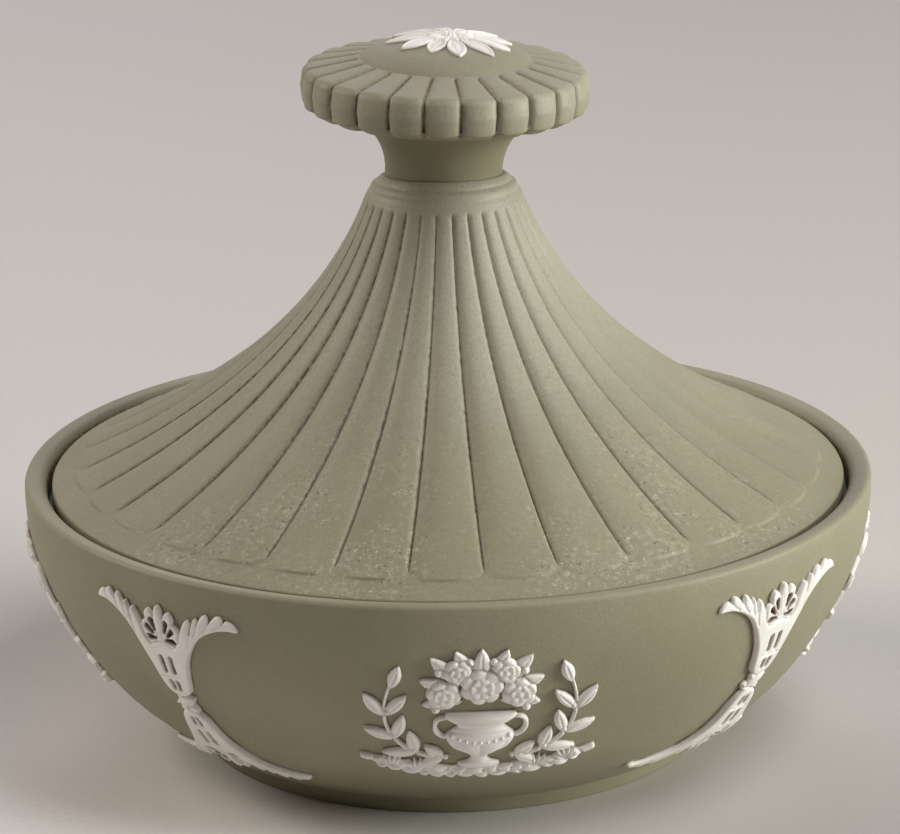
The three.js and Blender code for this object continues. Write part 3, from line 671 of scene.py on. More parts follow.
def relief_solid(relief, sheet):
    """Points, faces and point values of the closed body under a height map: its front over the
    sheet, and a back that lies in what it is fixed to"""
    front = np.maximum(relief.height, -RELIEF_ROOT)
    over = relief.height > -RELIEF_ROOT
    cells = over[:-1, :-1] | over[1:, :-1] | over[:-1, 1:] | over[1:, 1:]
    cells[[0, -1], :] = False
    cells[:, [0, -1]] = False
    while True:
        a, b = cells[:-1, :-1], cells[:-1, 1:]
        c, d = cells[1:, :-1], cells[1:, 1:]
        one = a & d & ~b & ~c
        other = b & c & ~a & ~d
        if not (one | other).any():
            break
        b |= one
        a |= other
    padded = np.pad(cells, 1)
    used = padded[:-1, :-1] | padded[1:, :-1] | padded[:-1, 1:] | padded[1:, 1:]
    count = int(used.sum())
    number = np.full(used.shape, -1)
    number[used] = np.arange(count)
    root = np.full(count, -RELIEF_BACK)
    places = relief.across[used], relief.down[used]
    points = np.vstack([sheet(*places, front[used]), sheet(*places, root)])
    i, j = np.nonzero(cells)
    corners = np.stack([number[i, j], number[i + 1, j], number[i + 1, j + 1], number[i, j + 1]], -1)
    faces = corners.tolist() + (corners[:, ::-1] + count).tolist()
    sides = (
        (padded[:-2, 1:-1], (0, 0), (0, 1)),
        (padded[2:, 1:-1], (1, 1), (1, 0)),
        (padded[1:-1, :-2], (1, 0), (0, 0)),
        (padded[1:-1, 2:], (0, 1), (1, 1)),
    )
    for beside, start, end in sides:
        i, j = np.nonzero(cells & ~beside)
        a = number[i + start[0], j + start[1]]
        b = number[i + end[0], j + end[1]]
        faces += np.stack([a, b, b + count, a + count], -1).tolist()
    lift = np.concatenate([front[used], root])
    hole = np.concatenate([relief.hole[used], np.zeros(count)])
    return points, faces, {"lift": lift, "hole": hole}


def make_relief(name, relief, sheet, material, body, node):
    points, faces, values = relief_solid(relief, sheet)
    piece = make_piece(name, points, faces, material, body, node)
    thin_out(piece, RELIEF_KEEP)
    nearest = nearest_points(piece, points)
    values = {key: value[nearest] for key, value in values.items()}
    for key, value in values.items():
        point_values(piece, key, value)
    return piece


def nearest_points(piece, points):
    """For each point of a piece, which of these points lies nearest"""
    tree = KDTree(len(points))
    for number, point in enumerate(points * MM):
        tree.insert(point, number)
    tree.balance()
    return np.array([tree.find(vertex.co)[1] for vertex in piece.data.vertices])


def thin_out(piece, keep):
    """Leaves out the points that a flat or plain surface doesn't need"""
    modifier = piece.modifiers.new("thin", "DECIMATE")
    modifier.ratio = keep
    bpy.context.view_layer.update()
    seen = piece.evaluated_get(bpy.context.evaluated_depsgraph_get())
    mesh = bpy.data.meshes.new_from_object(seen)
    piece.modifiers.clear()
    old = piece.data
    piece.data = mesh
    bpy.data.meshes.remove(old)
    mesh.name = piece.name


def turned_copy(piece, name, turn, node):
    """The same relief further round the box, with its place in its mesh"""
    mesh = piece.data.copy()
    mesh.name = name
    mesh.transform(Matrix.Rotation(math.radians(turn), 4, "Z"))
    declare(new_object(name, mesh), "box", node)


def bezier(points, share):
    """A place on the curve with these control points"""
    points = [np.array(point, float) for point in points]
    while len(points) > 1:
        points = [a + (b - a) * share for a, b in zip(points, points[1:])]
    return points[0]


# Rosette

def dome_sheet(across, down, lift):
    """Places over the knob's dome, a little to the right of its middle"""
    x = across + ROSETTE_OFF_CENTRE
    z = dome_height(np.hypot(x, down)) + lift
    return leaning(np.stack([x, -down, z], -1))


def make_rosette(material):
    reach = PETAL_TIP_RADIUS + 0.4
    relief = Relief(-reach, reach, -reach, reach)
    dice = random.Random(4)
    away = np.hypot(relief.across, relief.down)
    for i in sorted(range(PETALS), key=lambda i: i % 2 == 0):
        angle = math.radians(PETAL_BEARINGS[i])
        length = PETAL_LENGTHS[i]
        way = np.array([math.sin(angle), math.cos(angle)])
        half = 1.28 + dice.uniform(-0.06, 0.06)
        inside, height = relief.leaf(way * 0.8, way * length, half, 0.72, 0.64, 0, 0.28)
        aside = np.abs(relief.across * way[1] - relief.down * way[0])
        dish = 0.34 * np.clip((inside - 0.16) / 0.3, 0, 1) * smooth_step(1.6, 3.4, away)
        rib = 0.12 * np.exp(-(aside / 0.15) ** 2) * smooth_step(length - 0.6, length - 2, away)
        lean = 0.94 - 0.14 * (i % 2) - 0.12 * smooth_step(6, 8.8, away)
        relief.lay((inside, (height - dish + rib) * lean), 0.2, 0.62)
    for i in range(PETALS):
        angle = 2 * math.pi * (i + 0.5) / PETALS
        way = np.array([math.sin(angle), math.cos(angle)])
        relief.lay(relief.leaf(way * 0.4, way * 3.5, 0.5, 0.78, 0.6, 0.1), 0.15)
    relief.lay(relief.ball((0, 0), 1.15, 0.92))
    for i in range(6):
        angle = 2 * math.pi * i / 6
        relief.lay(relief.ball((math.sin(angle) * 0.62, math.cos(angle) * 0.62), 0.3, 0.98), 0.1, 0.8)
    make_relief("rosette_petals", relief, dome_sheet, material, "cover", "rosette")


# Upright ornaments

def both_sides(points):
    """A closed outline from its right half, with the left wing a little shorter than the right"""
    right = np.array(flowing(points, 4))
    left = right[::-1].copy()
    left[:, 0] = -shorter(left[:, 0])
    return np.vstack([right, left[1:-1]])


def shorter(across):
    return np.where(across > 4, 4 + (across - 4) * 0.91, across)


def mirrored(side, points):
    return [(side * across, down) for across, down in points]


def trumpet_relief():
    """A trumpet with a slotted stem, an arched mouth and a scalloped wing on each side, and a fan of
    five petals over its mouth"""
    relief = Relief(-13.6, 13.6, 2, 19.4)
    add_fan(relief)
    body = both_sides([
        (0, 9.5), (1.0, 9.7), (1.9, 10.1), (2.55, 9.6), (3.1, 8.8), (3.45, 7.7), (4.0, 6.5),
        (4.6, 5.6), (5.05, 5.4), (5.4, 5.8), (5.3, 6.6), (5.35, 7.1), (5.6, 6.2), (6.0, 5.2),
        (6.4, 4.75), (6.65, 4.95), (6.75, 5.5), (7.1, 4.85), (7.6, 4.25), (8.15, 4.0), (8.5, 4.25),
        (8.55, 5.15), (9.1, 4.5), (9.8, 3.95), (10.4, 3.85), (10.8, 4.15), (10.85, 4.75), (11.2, 4.4),
        (11.9, 4.4), (12.5, 4.75), (12.95, 5.35), (12.95, 5.75), (12.5, 5.85), (11.6, 5.8),
        (10.4, 5.95), (9.0, 6.4), (7.6, 7.1), (6.4, 8.0), (5.5, 9.05), (4.75, 10.2), (4.15, 11.3),
        (3.6, 12.5), (3.2, 13.6), (2.9, 14.7), (2.65, 15.8), (2.35, 17), (1.95, 17.9), (1.4, 18.5),
        (0.7, 18.85), (0, 18.9),
    ])
    inside, height = relief.patch(body, ORNAMENT_RELIEF, 0.4)
    height = height * np.interp(np.abs(relief.across), [3, 12], [1, 0.65])
    relief.lay((inside, height), 0.14, 0.7)
    valleys = [[(5.3, 6.9), (5.1, 8.1), (4.7, 9.2)], [(6.75, 5.3), (6.5, 6.4), (6.0, 7.3)],
               [(8.55, 5.0), (8.1, 5.9), (7.4, 6.6)], [(10.85, 4.6), (10.2, 5.3), (9.4, 5.8)]]
    for side in (-1, 1):
        for valley in valleys:
            line = [(-float(shorter(x)) if side < 0 else x, y) for x, y in valley]
            relief.crease(line, 0.22, 0.2)
        relief.slot(mirrored(side, [(0.84, 12.0), (0.76, 14.3)]), [0.17, 0.15])
        relief.slot(mirrored(side, [(0.58, 16.1), (0.46, 17.4)]), [0.14, 0.1])
    relief.crease([(-1.5, 15.2), (1.5, 15.2)], 0.3, 0.2)
    return relief


def add_fan(relief):
    outline = both_sides([
        (0, 4.2), (0.38, 4.4), (0.64, 5.0), (0.68, 5.6), (0.82, 5.95), (1.0, 5.5), (1.4, 5.05),
        (1.9, 4.95), (2.35, 5.3), (2.5, 5.9), (2.4, 6.6), (2.65, 6.65), (3.05, 6.9), (3.3, 7.4),
        (3.2, 8.1), (3.0, 8.8), (2.6, 9.7), (1.9, 10.3), (1.0, 9.9), (0, 9.7),
    ])
    relief.add(relief.patch(outline, ORNAMENT_RELIEF * 0.85, 0.3))
    for side in (-1, 1):
        relief.crease(mirrored(side, [(0.84, 5.9), (0.5, 7.6), (0.3, 9.0)]), 0.16, 0.2)
        relief.crease(mirrored(side, [(2.4, 6.7), (1.5, 7.7), (0.6, 9.0)]), 0.16, 0.2)
    relief.add(relief.leaf((0, PALMETTE_HEART), (0, 4.15), 0.64, ORNAMENT_RELIEF * 0.95, 0.72, 0))
    for side in (-1, 1):
        relief.slot(mirrored(side, [(0.9, 7.8), (1.3, 6.5)]), [0.08, 0.28])
        relief.slot(mirrored(side, [(1.35, 8.4), (2.2, 7.55)]), [0.07, 0.24])
        relief.slot(mirrored(side, [(0.95, 9.15), (2.1, 9.15)]), [0.07, 0.32])


def tie_relief():
    relief = Relief(-3.4, 3.4, TIE_AT - 2.6, TIE_AT + 2.6)
    leaves = [((0.9, 1.6), (-2.0, 0.2)), ((-1.3, -1.6), (1.5, 1.7)), ((-1.7, 0.9), (1.9, -1.2))]
    for leaf in leaves:
        shape = relief.leaf(*raised(TIE_AT, leaf), 0.85, ORNAMENT_RELIEF * 1.05, 0.55, 0.14)
        relief.lay(shape, 0.2, 0.55)
    return relief


def turned_over(sheet):
    return lambda across, down, lift: sheet(-across, 2 * TIE_AT - down, lift)


# Flower groups

def urn_relief():
    relief = Relief(-6.4, 6.4, URN_TOP - 0.6, URN_TOP + URN_HEIGHT + 0.6)
    outline = np.array(flowing([
        (0, 1), (0.05, 1.02), (0.1, 0.93), (0.2, 0.66), (0.27, 0.8), (0.37, 0.98), (0.5, 0.93),
        (0.62, 0.74), (0.74, 0.38), (0.8, 0.27), (0.85, 0.24), (0.9, 0.34), (0.95, 0.58), (1, 0.62),
    ], 6))
    share = (relief.down - URN_TOP) / URN_HEIGHT
    half = URN_HALF_WIDTH * np.interp(share, outline[:, 0], outline[:, 1])
    for side in (-1, 1):
        bend = mirrored(side, [(3.9, 21.4), (6.9, 21.2), (6.6, 16.6), (4.2, 17.5)])
        handle = [bezier(bend, share) for share in np.linspace(0, 1, 12)]
        relief.add(relief.stroke(handle, np.linspace(0.42, 0.32, 12), 0.75))
    inside = np.minimum(half - np.abs(relief.across), np.minimum(share, 1 - share) * URN_HEIGHT)
    swing = np.clip(relief.across / half, -1, 1)
    deep = np.interp(share, [0, 0.1, 0.2, 0.4, 0.6, 0.8, 0.9, 1], [0.85, 0.9, 0.7, 1, 0.95, 0.5, 0.55, 0.6])
    height = URN_RELIEF * deep * domed(1 - np.abs(swing), 0.25)
    reeds = np.abs(np.sin(3.5 * np.arcsin(swing))) ** 0.6
    low_belly = smooth_step(0.44, 0.48, share) * (1 - smooth_step(0.72, 0.78, share))
    height = height - 0.26 * (1 - reeds) * low_belly
    for ring in (0.105, 0.29, 0.445, 0.79, 0.905):
        height = height - 0.18 * np.exp(-((share - ring) * URN_HEIGHT / 0.11) ** 2)
    relief.lay((inside, height), 0.25)
    for part in np.linspace(-0.82, 0.82, 9):
        down = URN_TOP + URN_HEIGHT * (0.41 - 0.065 * (part / 0.82) ** 2)
        depth = URN_RELIEF * (0.3 + 0.72 * math.sqrt(1 - part ** 2))
        relief.add(relief.ball((part * URN_HALF_WIDTH, down), 0.42, depth + 0.28))
    return relief


def bouquet_relief():
    margin = 0.6
    relief = Relief(-BOUQUET_HALF_WIDTH - margin, BOUQUET_HALF_WIDTH + margin, BOUQUET_TOP - 0.5,
                    URN_TOP + 0.4)

    def at(across, down):
        place = across * BOUQUET_HALF_WIDTH, BOUQUET_TOP + (BOUQUET_BOTTOM - BOUQUET_TOP) * down
        return np.array(place)

    heart = at(0, 0.8)
    leaf_tips = [(-0.95, 0.88), (-1, 0.46), (-0.82, 0.12), (-0.42, 0.02), (0, 0), (0.42, 0.02),
                 (0.82, 0.12), (1, 0.46), (0.95, 0.88)]
    for tip in leaf_tips:
        root = heart + (at(*tip) - heart) * 0.3
        relief.lay(relief.leaf(root, at(*tip), 1.15, GROUP_RELIEF * 0.62, 0.55, 0.14), 0.25)
    buds = [(-0.68, 0.34), (0.68, 0.34), (-0.2, 0.2), (0.2, 0.2), (-0.72, 0.95), (0.72, 0.95)]
    for bud in buds:
        relief.lay(relief.ball(at(*bud), 0.62, GROUP_RELIEF * 0.85))
    blooms = [(-0.38, 0.34, 0.68, 5, 20), (0.38, 0.34, 0.68, 5, 70), (-0.6, 0.7, 0.82, 6, 10),
              (0.6, 0.7, 0.82, 6, 40), (0, 0.58, 1.0, 7, 0)]
    for across, down, size, petals, turn in blooms:
        relief.lay(relief.bloom(at(across, down), 2.9 * size, petals, GROUP_RELIEF, turn), 0.35, 0.4)
    return relief


def spray_relief(side):
    stem_foot = GROUND_AT - 3.7
    stem_top = 11.6
    controls = [(URN_HALF_WIDTH * 0.96, stem_foot), (URN_HALF_WIDTH * 0.96 + 4.56, stem_foot + 0.2),
                (15.0, stem_foot - (stem_foot - stem_top) * 0.4), (12.06, stem_top)]
    relief = Relief(*sorted((side, side * 17)), 6, 29)

    def add_leaf(root, tip, half, bulge):
        leaf = relief.leaf(*mirrored(side, [root, tip]), half, GROUP_RELIEF * 0.75, bulge, 0.16)
        relief.lay(leaf)

    stem = [bezier(controls, share) for share in np.linspace(0, 1, 20)]
    relief.add(relief.stroke(mirrored(side, stem), np.linspace(0.4, 0.2, 20), GROUP_RELIEF * 0.6))
    for i in range(SPRAY_LEAVES):
        share = i / SPRAY_LEAVES
        root = bezier(controls, share + 0.02)
        ahead = bezier(controls, share + 0.5 / SPRAY_LEAVES) - root
        length = SPRAY_LEAF_LENGTH * (1.0 if i == 0 else 1.25)
        for turn in (-1, 1):
            way = math.atan2(ahead[1], ahead[0]) + turn * math.radians(SPRAY_LEAF_ANGLE)
            add_leaf(root, root + length * np.array([math.cos(way), math.sin(way)]), 0.92, 0.48)
            berry = root + 0.9 * np.array([math.cos(way - turn * 1.1), math.sin(way - turn * 1.1)])
            relief.lay(relief.ball((side * berry[0], berry[1]), 0.42, GROUP_RELIEF * 0.8), 0.15)
    add_leaf(stem[-1] + (0, 0.6), stem[-1] - (1.2, 3.04), 0.9, 0.5)
    return relief


def ground_relief():
    relief = Relief(-GROUND_HALF_WIDTH - 1.4, GROUND_HALF_WIDTH + 1.4, 23.4, 32.2)
    dice = random.Random(7)

    def ridge(share):
        return GROUND_HALF_WIDTH * share, GROUND_AT - GROUND_SAG * share ** 2

    shares = np.linspace(-1, 1, 25)
    halves = 1.3 * (1 - 0.7 * shares ** 2)
    relief.add(relief.stroke([ridge(share) for share in shares], halves, GROUP_RELIEF * 0.7, 0.8))
    for i in range(15):
        share = -0.86 + 1.72 * i / 14 + dice.uniform(-0.03, 0.03)
        across, down = ridge(share)
        size = (1.5 + dice.uniform(-0.2, 0.4)) * (1 - 0.45 * share ** 2)
        place = (across, down - 0.35 + dice.uniform(-0.2, 0.2))
        relief.lay(relief.ball(place, size, GROUP_RELIEF * dice.uniform(0.75, 0.95), 0.55), 0.3)
    for i in range(14):
        share = -0.84 + 1.68 * i / 13 + dice.uniform(-0.03, 0.03)
        across, down = ridge(share)
        size = (1.6 + dice.uniform(-0.3, 0.3)) * (1 - 0.5 * share ** 2)
        rise = GROUP_RELIEF * dice.uniform(0.8, 1.0)
        relief.lay(relief.ball((across, down + 0.5), size, rise, 0.42), 0.3)
    for share in (-0.74, -0.52, 0.5, 0.76):
        across, down = ridge(share)
        for lean in (-0.9, -0.35, 0.3, 0.85):
            foot = (across + lean * 0.35, down)
            tip = (across + lean * 1.5, down - 2.6 + abs(lean) * 0.7)
            relief.lay(relief.leaf(foot, tip, 0.3, GROUP_RELIEF * 0.75, 0.4, 0), 0.15, 0.7)
    return relief


# Materials, with colours in screen levels from 0 to 255

SURROUND = (190, 186, 181)
WARE = (139, 134, 109), (146, 141, 116)
WARE_GRAIN = (122, 116, 97)
# A pale film: dust with a painted sheen, for the upper lid and the knob's cap
DUST_AND_PAINTED_SHEEN = (193, 190, 184)
PALE_SPECK = (182, 178, 160)
DARK_SPECK = (84, 76, 58)
# Grime with painted shade, for grooves and crevices
GROOVE_DIRT_AND_SHADE = (84, 62, 42)
DUST = (186, 175, 158)
LINT = (210, 202, 190)
PITS = (92, 77, 58)
CLAY = (228, 223, 216), (237, 234, 229)
CLAY_EDGE = (196, 192, 176)
CLAY_DIRT_AND_SHADE = (104, 82, 60)
CLAY_SPECK = (150, 140, 122)
HOLE_DIRT_AND_SHADE = (108, 70, 45)
PAPER_NEAR = (241, 237, 236), (191, 185, 181)
PAPER_FAR = (211, 208, 205), (203, 199, 192)
PAPER_CLOUD = (206, 199, 192)
PAPER_FIBRE = (184, 179, 172)


def srgb(levels):
    """The linear colour of screen levels"""
    shares = [level / 255 for level in levels]
    return tuple(s / 12.92 if s <= 0.04045 else ((s + 0.055) / 1.055) ** 2.4 for s in shares) + (1,)


class Nodes:
    """A material's or a world's nodes, with short ways to add and join them"""

    def __init__(self, owner):
        self.owner = owner
        owner.use_nodes = True
        self.tree = owner.node_tree
        self.place = self.add("ShaderNodeTexCoord").outputs["Object"]
        self.x, self.y, self.z = self.add("ShaderNodeSeparateXYZ", Vector=self.place).outputs

    def add(self, kind, **inputs):
        return self.fill(self.tree.nodes.new(kind), inputs)

    def fill(self, node, inputs):
        for name, value in inputs.items():
            self.feed(node.inputs[name.replace("_", " ")], value)
        return node

    def feed(self, socket, value):
        if isinstance(value, bpy.types.NodeSocket):
            self.tree.links.new(value, socket)
        else:
            socket.default_value = value

    def dress(self, shader="Principled BSDF", **inputs):
        """Sets what the shader gets, and gives the material or world"""
        self.fill(self.tree.nodes[shader], inputs)
        return self.owner

    def noise(self, scale, detail=2.0, roughness=0.5):
        node = self.add("ShaderNodeTexNoise", Vector=self.place, Scale=scale, Detail=detail,
                        Roughness=roughness)
        return node.outputs["Fac"]

    def ramp(self, value, low, high, to_low=0.0, to_high=1.0):
        node = self.add("ShaderNodeMapRange", Value=value, From_Min=low, From_Max=high, To_Min=to_low,
                        To_Max=to_high)
        node.interpolation_type = "SMOOTHSTEP"
        return node.outputs["Result"]

    def maths(self, operation, one, other=0.0):
        node = self.add("ShaderNodeMath")
        node.operation = operation
        self.feed(node.inputs[0], one)
        self.feed(node.inputs[1], other)
        return node.outputs["Value"]

    def times(self, product, *factors):
        for factor in factors:
            product = self.maths("MULTIPLY", product, factor)
        return product

    def mix(self, share, one, other):
        node = self.add("ShaderNodeMix")
        node.data_type = "RGBA"
        for number, value in ((0, share), (6, one), (7, other)):
            self.feed(node.inputs[number], srgb(value) if isinstance(value, tuple) else value)
        return node.outputs[2]

    def speckle(self, colour, scale, size, share, strength, speck):
        """Round specks of another colour, in a share of the cells of a scale"""
        cells = self.add("ShaderNodeTexVoronoi", Vector=self.place, Scale=scale).outputs
        chosen = self.add("ShaderNodeSeparateColor", Color=cells["Color"]).outputs["Red"]
        lucky = self.ramp(chosen, 1 - share, 1 - share + 0.02)
        speckles = self.times(self.ramp(cells["Distance"], size, size * 0.4), lucky, strength)
        return self.mix(speckles, colour, speck)

    def dusty_places(self):
        """Where dust lies thicker: along the lid's front, in patches, and thinner elsewhere and on
        the foremost flute"""
        thick = self.ramp(self.y, -0.014, -0.038)
        patches = self.ramp(self.noise(90, 4, 0.6), 0.36, 0.58)
        beside = self.ramp(self.maths("ABSOLUTE", self.x), 0.004, 0.009, 0.25, 1)
        thin = self.ramp(self.noise(60, 3, 0.6), 0.42, 0.66, 0, 0.25)
        return self.maths("MAXIMUM", self.times(thick, patches, beside), self.maths("ADD", thin, 0.12))

    def attribute(self, name):
        node = self.add("ShaderNodeAttribute")
        node.attribute_name = name
        return node.outputs["Fac"]

    def seen(self):
        """1 for what the camera, a reflection or a view through glass meets, and 0 for light"""
        path = self.add("ShaderNodeLightPath").outputs
        straight = self.maths("ADD", path["Is Camera Ray"], path["Is Transmission Ray"])
        return self.maths("MINIMUM", self.maths("ADD", straight, path["Is Glossy Ray"]), 1.0)

    def up_facing(self):
        normal = self.add("ShaderNodeNewGeometry").outputs["Normal"]
        return self.add("ShaderNodeSeparateXYZ", Vector=normal).outputs["Z"]

    def bump(self, height, distance, **below):
        node = self.add("ShaderNodeBump", Height=height, Distance=distance, Strength=1.0, **below)
        return node.outputs["Normal"]


def stoneware(name, dust, groove_dirt_and_shade, tones=()):
    """Dry olive-grey stoneware with a fine grain. dust is how much dust lies on what faces up. The next
    argument is how dark its grooves and crevices turn: brown grime with painted shade, painted darker on
    the left, away from the lights. Each of tones is a low and a high height in metres, a share and a
    colour: from the first height to the second, the ware takes on up to that share of the colour."""
    nodes = Nodes(bpy.data.materials.new(name))
    colour = nodes.mix(nodes.ramp(nodes.noise(55, 3), 0.3, 0.7), *WARE)
    for low, high, share, tone in tones:
        colour = nodes.mix(nodes.ramp(nodes.z, low, high, 0, share), colour, tone)
    grain = nodes.ramp(nodes.noise(2300, 2, 0.6), 0.35, 0.75, 0, 0.3)
    colour = nodes.mix(grain, colour, WARE_GRAIN)
    colour = nodes.speckle(colour, 1500, 0.2, 0.1, 0.35, PALE_SPECK)
    colour = nodes.speckle(colour, 900, 0.14, 0.05, 0.45, DARK_SPECK)
    # Browns the grooves and crevices: partly grime, partly painted shade.
    if groove_dirt_and_shade:
        crevice = nodes.attribute("crevice")
        patches = nodes.ramp(nodes.noise(260, 4, 0.75), 0.36, 0.6, 0.4, 1.0)
        # Painted shade: grooves on the left, away from the lights, are browned more.
        shaded_left = nodes.ramp(nodes.x, 0.04, -0.01, 0.5, 1.0)
        rough = nodes.ramp(nodes.noise(1300, 2), 0.35, 0.6, -0.35, 0.25)
        groove = nodes.ramp(nodes.maths("ADD", crevice, rough), 0.1, 0.75)
        inside = nodes.ramp(crevice, 0.0, 0.1)
        colour = nodes.mix(nodes.times(groove, inside, patches, shaded_left, groove_dirt_and_shade), colour, GROOVE_DIRT_AND_SHADE)
    if dust:
        heap = nodes.times(nodes.ramp(nodes.up_facing(), 0.3, 0.7), nodes.dusty_places())
        film = nodes.ramp(nodes.noise(1100, 4, 0.7), 0.48, 0.66)
        lint = nodes.ramp(nodes.noise(1700, 3, 0.55), 0.62, 0.7)
        pits = nodes.ramp(nodes.noise(1350, 3, 0.6), 0.4, 0.3)
        for layer, strength, tone in ((film, 0.5, DUST), (lint, 0.6, LINT), (pits, 0.75, PITS)):
            colour = nodes.mix(nodes.times(layer, heap, strength * dust), colour, tone)
    coarse = nodes.bump(nodes.noise(420, 4, 0.65), 0.00006)
    fine = nodes.bump(nodes.noise(3200, 2, 0.6), 0.00004, Normal=coarse)
    return nodes.dress(Base_Color=colour, Roughness=0.52, Specular_IOR_Level=0.42, Normal=fine)


def white_clay():
    """Dry white stoneware, darker at its thin edges, and brown at its foot and in its slots, which is
    grime with painted shade
    """
    nodes = Nodes(bpy.data.materials.new("white_clay"))
    lift = nodes.attribute("lift")
    colour = nodes.mix(nodes.ramp(nodes.noise(180, 3), 0.3, 0.7), *CLAY)
    colour = nodes.mix(nodes.ramp(lift, 0.4, 0.0), colour, CLAY_EDGE)
    # Browns the foot of the relief where it meets the wall: grime with painted shade.
    dirt_and_shade_share = nodes.ramp(nodes.noise(300, 3), 0.35, 0.6, 0.4, 0.95)
    colour = nodes.mix(nodes.times(dirt_and_shade_share, nodes.ramp(lift, 0.38, 0.04)), colour, CLAY_DIRT_AND_SHADE)
    # Browns the slots: grime, with painted shade standing in for the shadowed ground.
    colour = nodes.mix(nodes.times(nodes.attribute("hole"), 0.9), colour, HOLE_DIRT_AND_SHADE)
    colour = nodes.speckle(colour, 1200, 0.16, 0.03, 0.4, CLAY_SPECK)
    grain = nodes.bump(nodes.noise(2600, 3, 0.6), 0.00003)
    return nodes.dress(Base_Color=colour, Roughness=0.55, Specular_IOR_Level=0.4, Normal=grain)


def paper():
    """Pale paper, with painted light and shade: near the box it is lighter to the left and darker to the
    right, and far back a little darker to the right. Far from the box, where the lights don't reach, it
    turns into the surround.
    """
    nodes = Nodes(bpy.data.materials.new("paper"))
    # Painted light and shade: the floor is lighter to the left and darker to the right.
    near = nodes.mix(nodes.ramp(nodes.x, -0.06, 0.05), *PAPER_NEAR)
    far = nodes.mix(nodes.ramp(nodes.x, -0.12, 0.14), *PAPER_FAR)
    colour = nodes.mix(nodes.ramp(nodes.y, 0.07, -0.05), far, near)
    colour = nodes.mix(nodes.ramp(nodes.noise(9, 2), 0.35, 0.7, 0, 0.12), colour, PAPER_CLOUD)
    fibre = nodes.noise(900, 3, 0.6)
    colour = nodes.mix(nodes.ramp(fibre, 0.4, 0.7, 0, 0.1), colour, PAPER_FIBRE)
    length = nodes.add("ShaderNodeVectorMath", Vector=nodes.place)
    length.operation = "LENGTH"
    blend = nodes.add("ShaderNodeMixShader", Fac=nodes.ramp(length.outputs["Value"], 0.5, 1.1))
    glow = nodes.add("ShaderNodeEmission", Color=srgb(SURROUND), Strength=nodes.seen())
    nodes.feed(blend.inputs[1], nodes.tree.nodes["Principled BSDF"].outputs["BSDF"])
    nodes.feed(blend.inputs[2], glow.outputs["Emission"])
    nodes.fill(nodes.tree.nodes["Material Output"], {"Surface": blend.outputs["Shader"]})
    return nodes.dress(Base_Color=colour, Roughness=0.8, Specular_IOR_Level=0.2,
                       Normal=nodes.bump(fibre, 0.00003))


# Scene

def make_floor(half=6):
    mesh = bpy.data.meshes.new("floor")
    corners = [(-half, -half, 0), (half, -half, 0), (half, half, 0), (-half, half, 0)]
    mesh.from_pydata(corners, [], [(0, 1, 2, 3)])
    mesh.materials.append(paper())
    new_object("floor", mesh)


def direction(bearing, elevation):
    """The way out from the box at a bearing and an elevation, in degrees"""
    a = math.radians(bearing)
    e = math.radians(elevation)
    return Vector((math.sin(a) * math.cos(e), -math.cos(a) * math.cos(e), math.sin(e)))


def make_camera():
    """The photograph's view: its angle, distance, tilt and framing, in a frame of 900 by 834 pixels"""
    bearing = -4
    elevation = 18.006
    roll = math.radians(0.7835)
    distance = 0.67709
    pixels_wide = 900
    focal_pixels = 4772.73
    rim_right_of_middle = -2.21
    rim_below_middle = 47.45
    rim_centre = Vector((0, 0, 0.0386))
    right = direction(bearing + 90, 0)
    back = direction(bearing, elevation)
    up = back.cross(right)
    rolled_right = right * math.cos(roll) - up * math.sin(roll)
    rolled_up = right * math.sin(roll) + up * math.cos(roll)
    aside = rolled_up * rim_below_middle - rolled_right * rim_right_of_middle
    aim = (aside / focal_pixels - back).normalized()
    side = aim.cross(rolled_up).normalized()
    top = side.cross(aim)
    data = bpy.data.cameras.new("camera")
    data.sensor_width = 36
    data.lens = data.sensor_width * focal_pixels / pixels_wide
    data.clip_start = 0.01
    camera = new_object("camera", data)
    rotation = Matrix((side, top, -aim)).transposed()
    camera.matrix_world = Matrix.Translation(rim_centre + back * distance) @ rotation.to_4x4()
    bpy.context.scene.camera = camera


def make_light(name, bearing, elevation, distance, size, power, colour):
    """A soft square light that faces the box from a bearing and an elevation"""
    data = bpy.data.lights.new(name, "AREA")
    data.shape = "SQUARE"
    data.size = size
    data.energy = power
    data.color = colour
    light = new_object(name, data)
    out = direction(bearing, elevation)
    light.location = out * distance + Vector((0, 0, 0.04))
    light.rotation_mode = "QUATERNION"
    light.rotation_quaternion = out.to_track_quat("Z", "Y")


def make_world():
    """A pale surround, which is seen and reflected and gives no other light"""
    nodes = Nodes(bpy.data.worlds.new("world"))
    world = nodes.dress("Background", Color=srgb(SURROUND), Strength=nodes.seen())
    bpy.context.scene.world = world


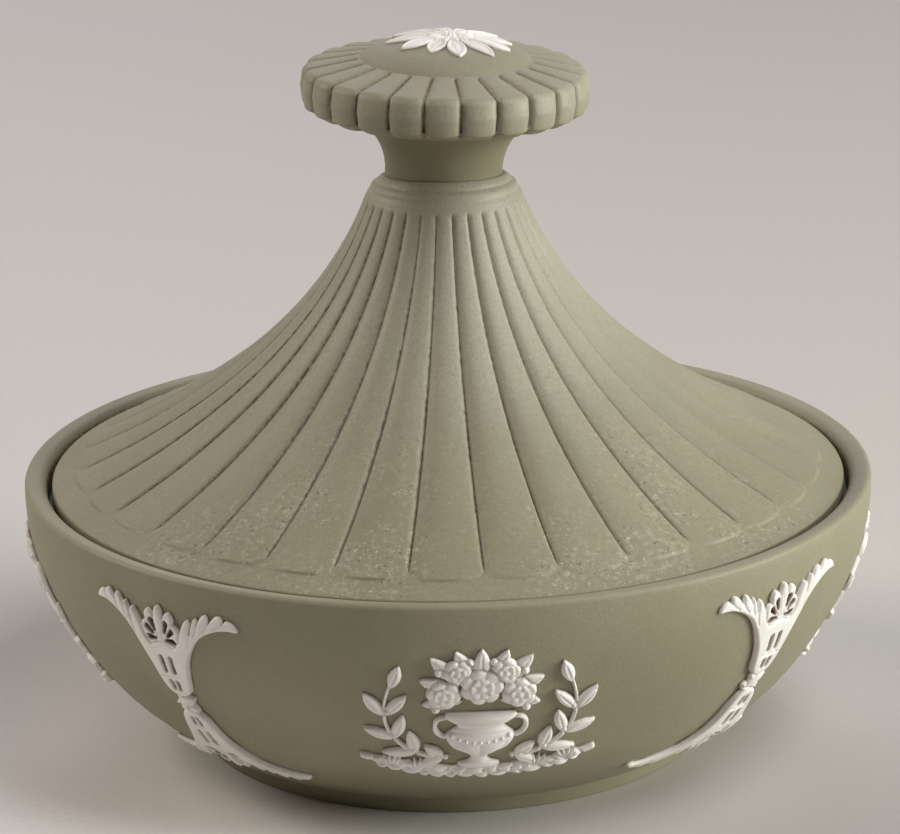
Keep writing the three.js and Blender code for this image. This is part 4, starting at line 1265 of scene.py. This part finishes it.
def make_wall_reliefs(material):
    corners = {"front_right": 0, "back_right": 90.6, "back_left": 180.6, "front_left": 271.2}
    sides = {"front": 0, "right": 90, "back": 180, "left": 270}
    corner = wall_sheet(ORNAMENT_BEARING)
    front = wall_sheet(0)
    trumpet = trumpet_relief()
    plan = [
        ("ornament_upper", trumpet, corner, corners),
        ("ornament_lower", trumpet, turned_over(corner), corners),
        ("ornament_tie", tie_relief(), corner, corners),
        ("urn", urn_relief(), front, sides),
        ("bouquet", bouquet_relief(), front, sides),
        ("spray_left", spray_relief(-1), front, sides),
        ("spray_right", spray_relief(1), front, sides),
        ("ground", ground_relief(), front, sides),
    ]
    for stem, relief, sheet, turns in plan:
        first = None
        for place, turn in turns.items():
            node = f"{stem}_{place}"
            if first is None:
                first = make_relief(f"{node}_relief", relief, sheet, material, "box", node)
            else:
                turned_copy(first, f"{node}_relief", turn, node)


bpy.context.scene.view_settings.view_transform = "Standard"
make_camera()
make_floor()
make_light("key_light", 60, 55, 0.8, 0.5, 3.6, (0.987, 0.971, 1.0))
make_light("low_light", 75, 10, 1.3, 0.7, 19.8, (0.966, 1.0, 0.938))
make_light("fill_light", -105, 35, 1.3, 0.7, 9.4, (1.0, 0.935, 0.839))
make_light("back_light", 180, 35, 1.3, 0.7, 2.63, (0.817, 0.802, 1.0))
make_world()
make_bowl(stoneware("stoneware_bowl", 0, 1.0))
# The lid pales towards its top: a dust film with a painted sheen.
make_lid(stoneware("stoneware_lid", 1.0, 0.8, [(0.04, 0.074, 0.24, DUST_AND_PAINTED_SHEEN)]))
make_knob(stoneware("stoneware_knob", 0.3, 0.6, [
    # Painted shade under the cap, with some grime: the neck and the cap's underside are darkened.
    (0.0908, 0.0884, 0.9, (119, 114, 88)),
    # Painted sheen with dust, paling the cap from its side upwards.
    (0.0905, 0.0925, 0.15, DUST_AND_PAINTED_SHEEN),
    # Painted shade: the cap's top and dome are darkened.
    (0.0955, 0.0968, 0.7, (134, 129, 105)),
]))
clay = white_clay()
make_rosette(clay)
make_wall_reliefs(clay)
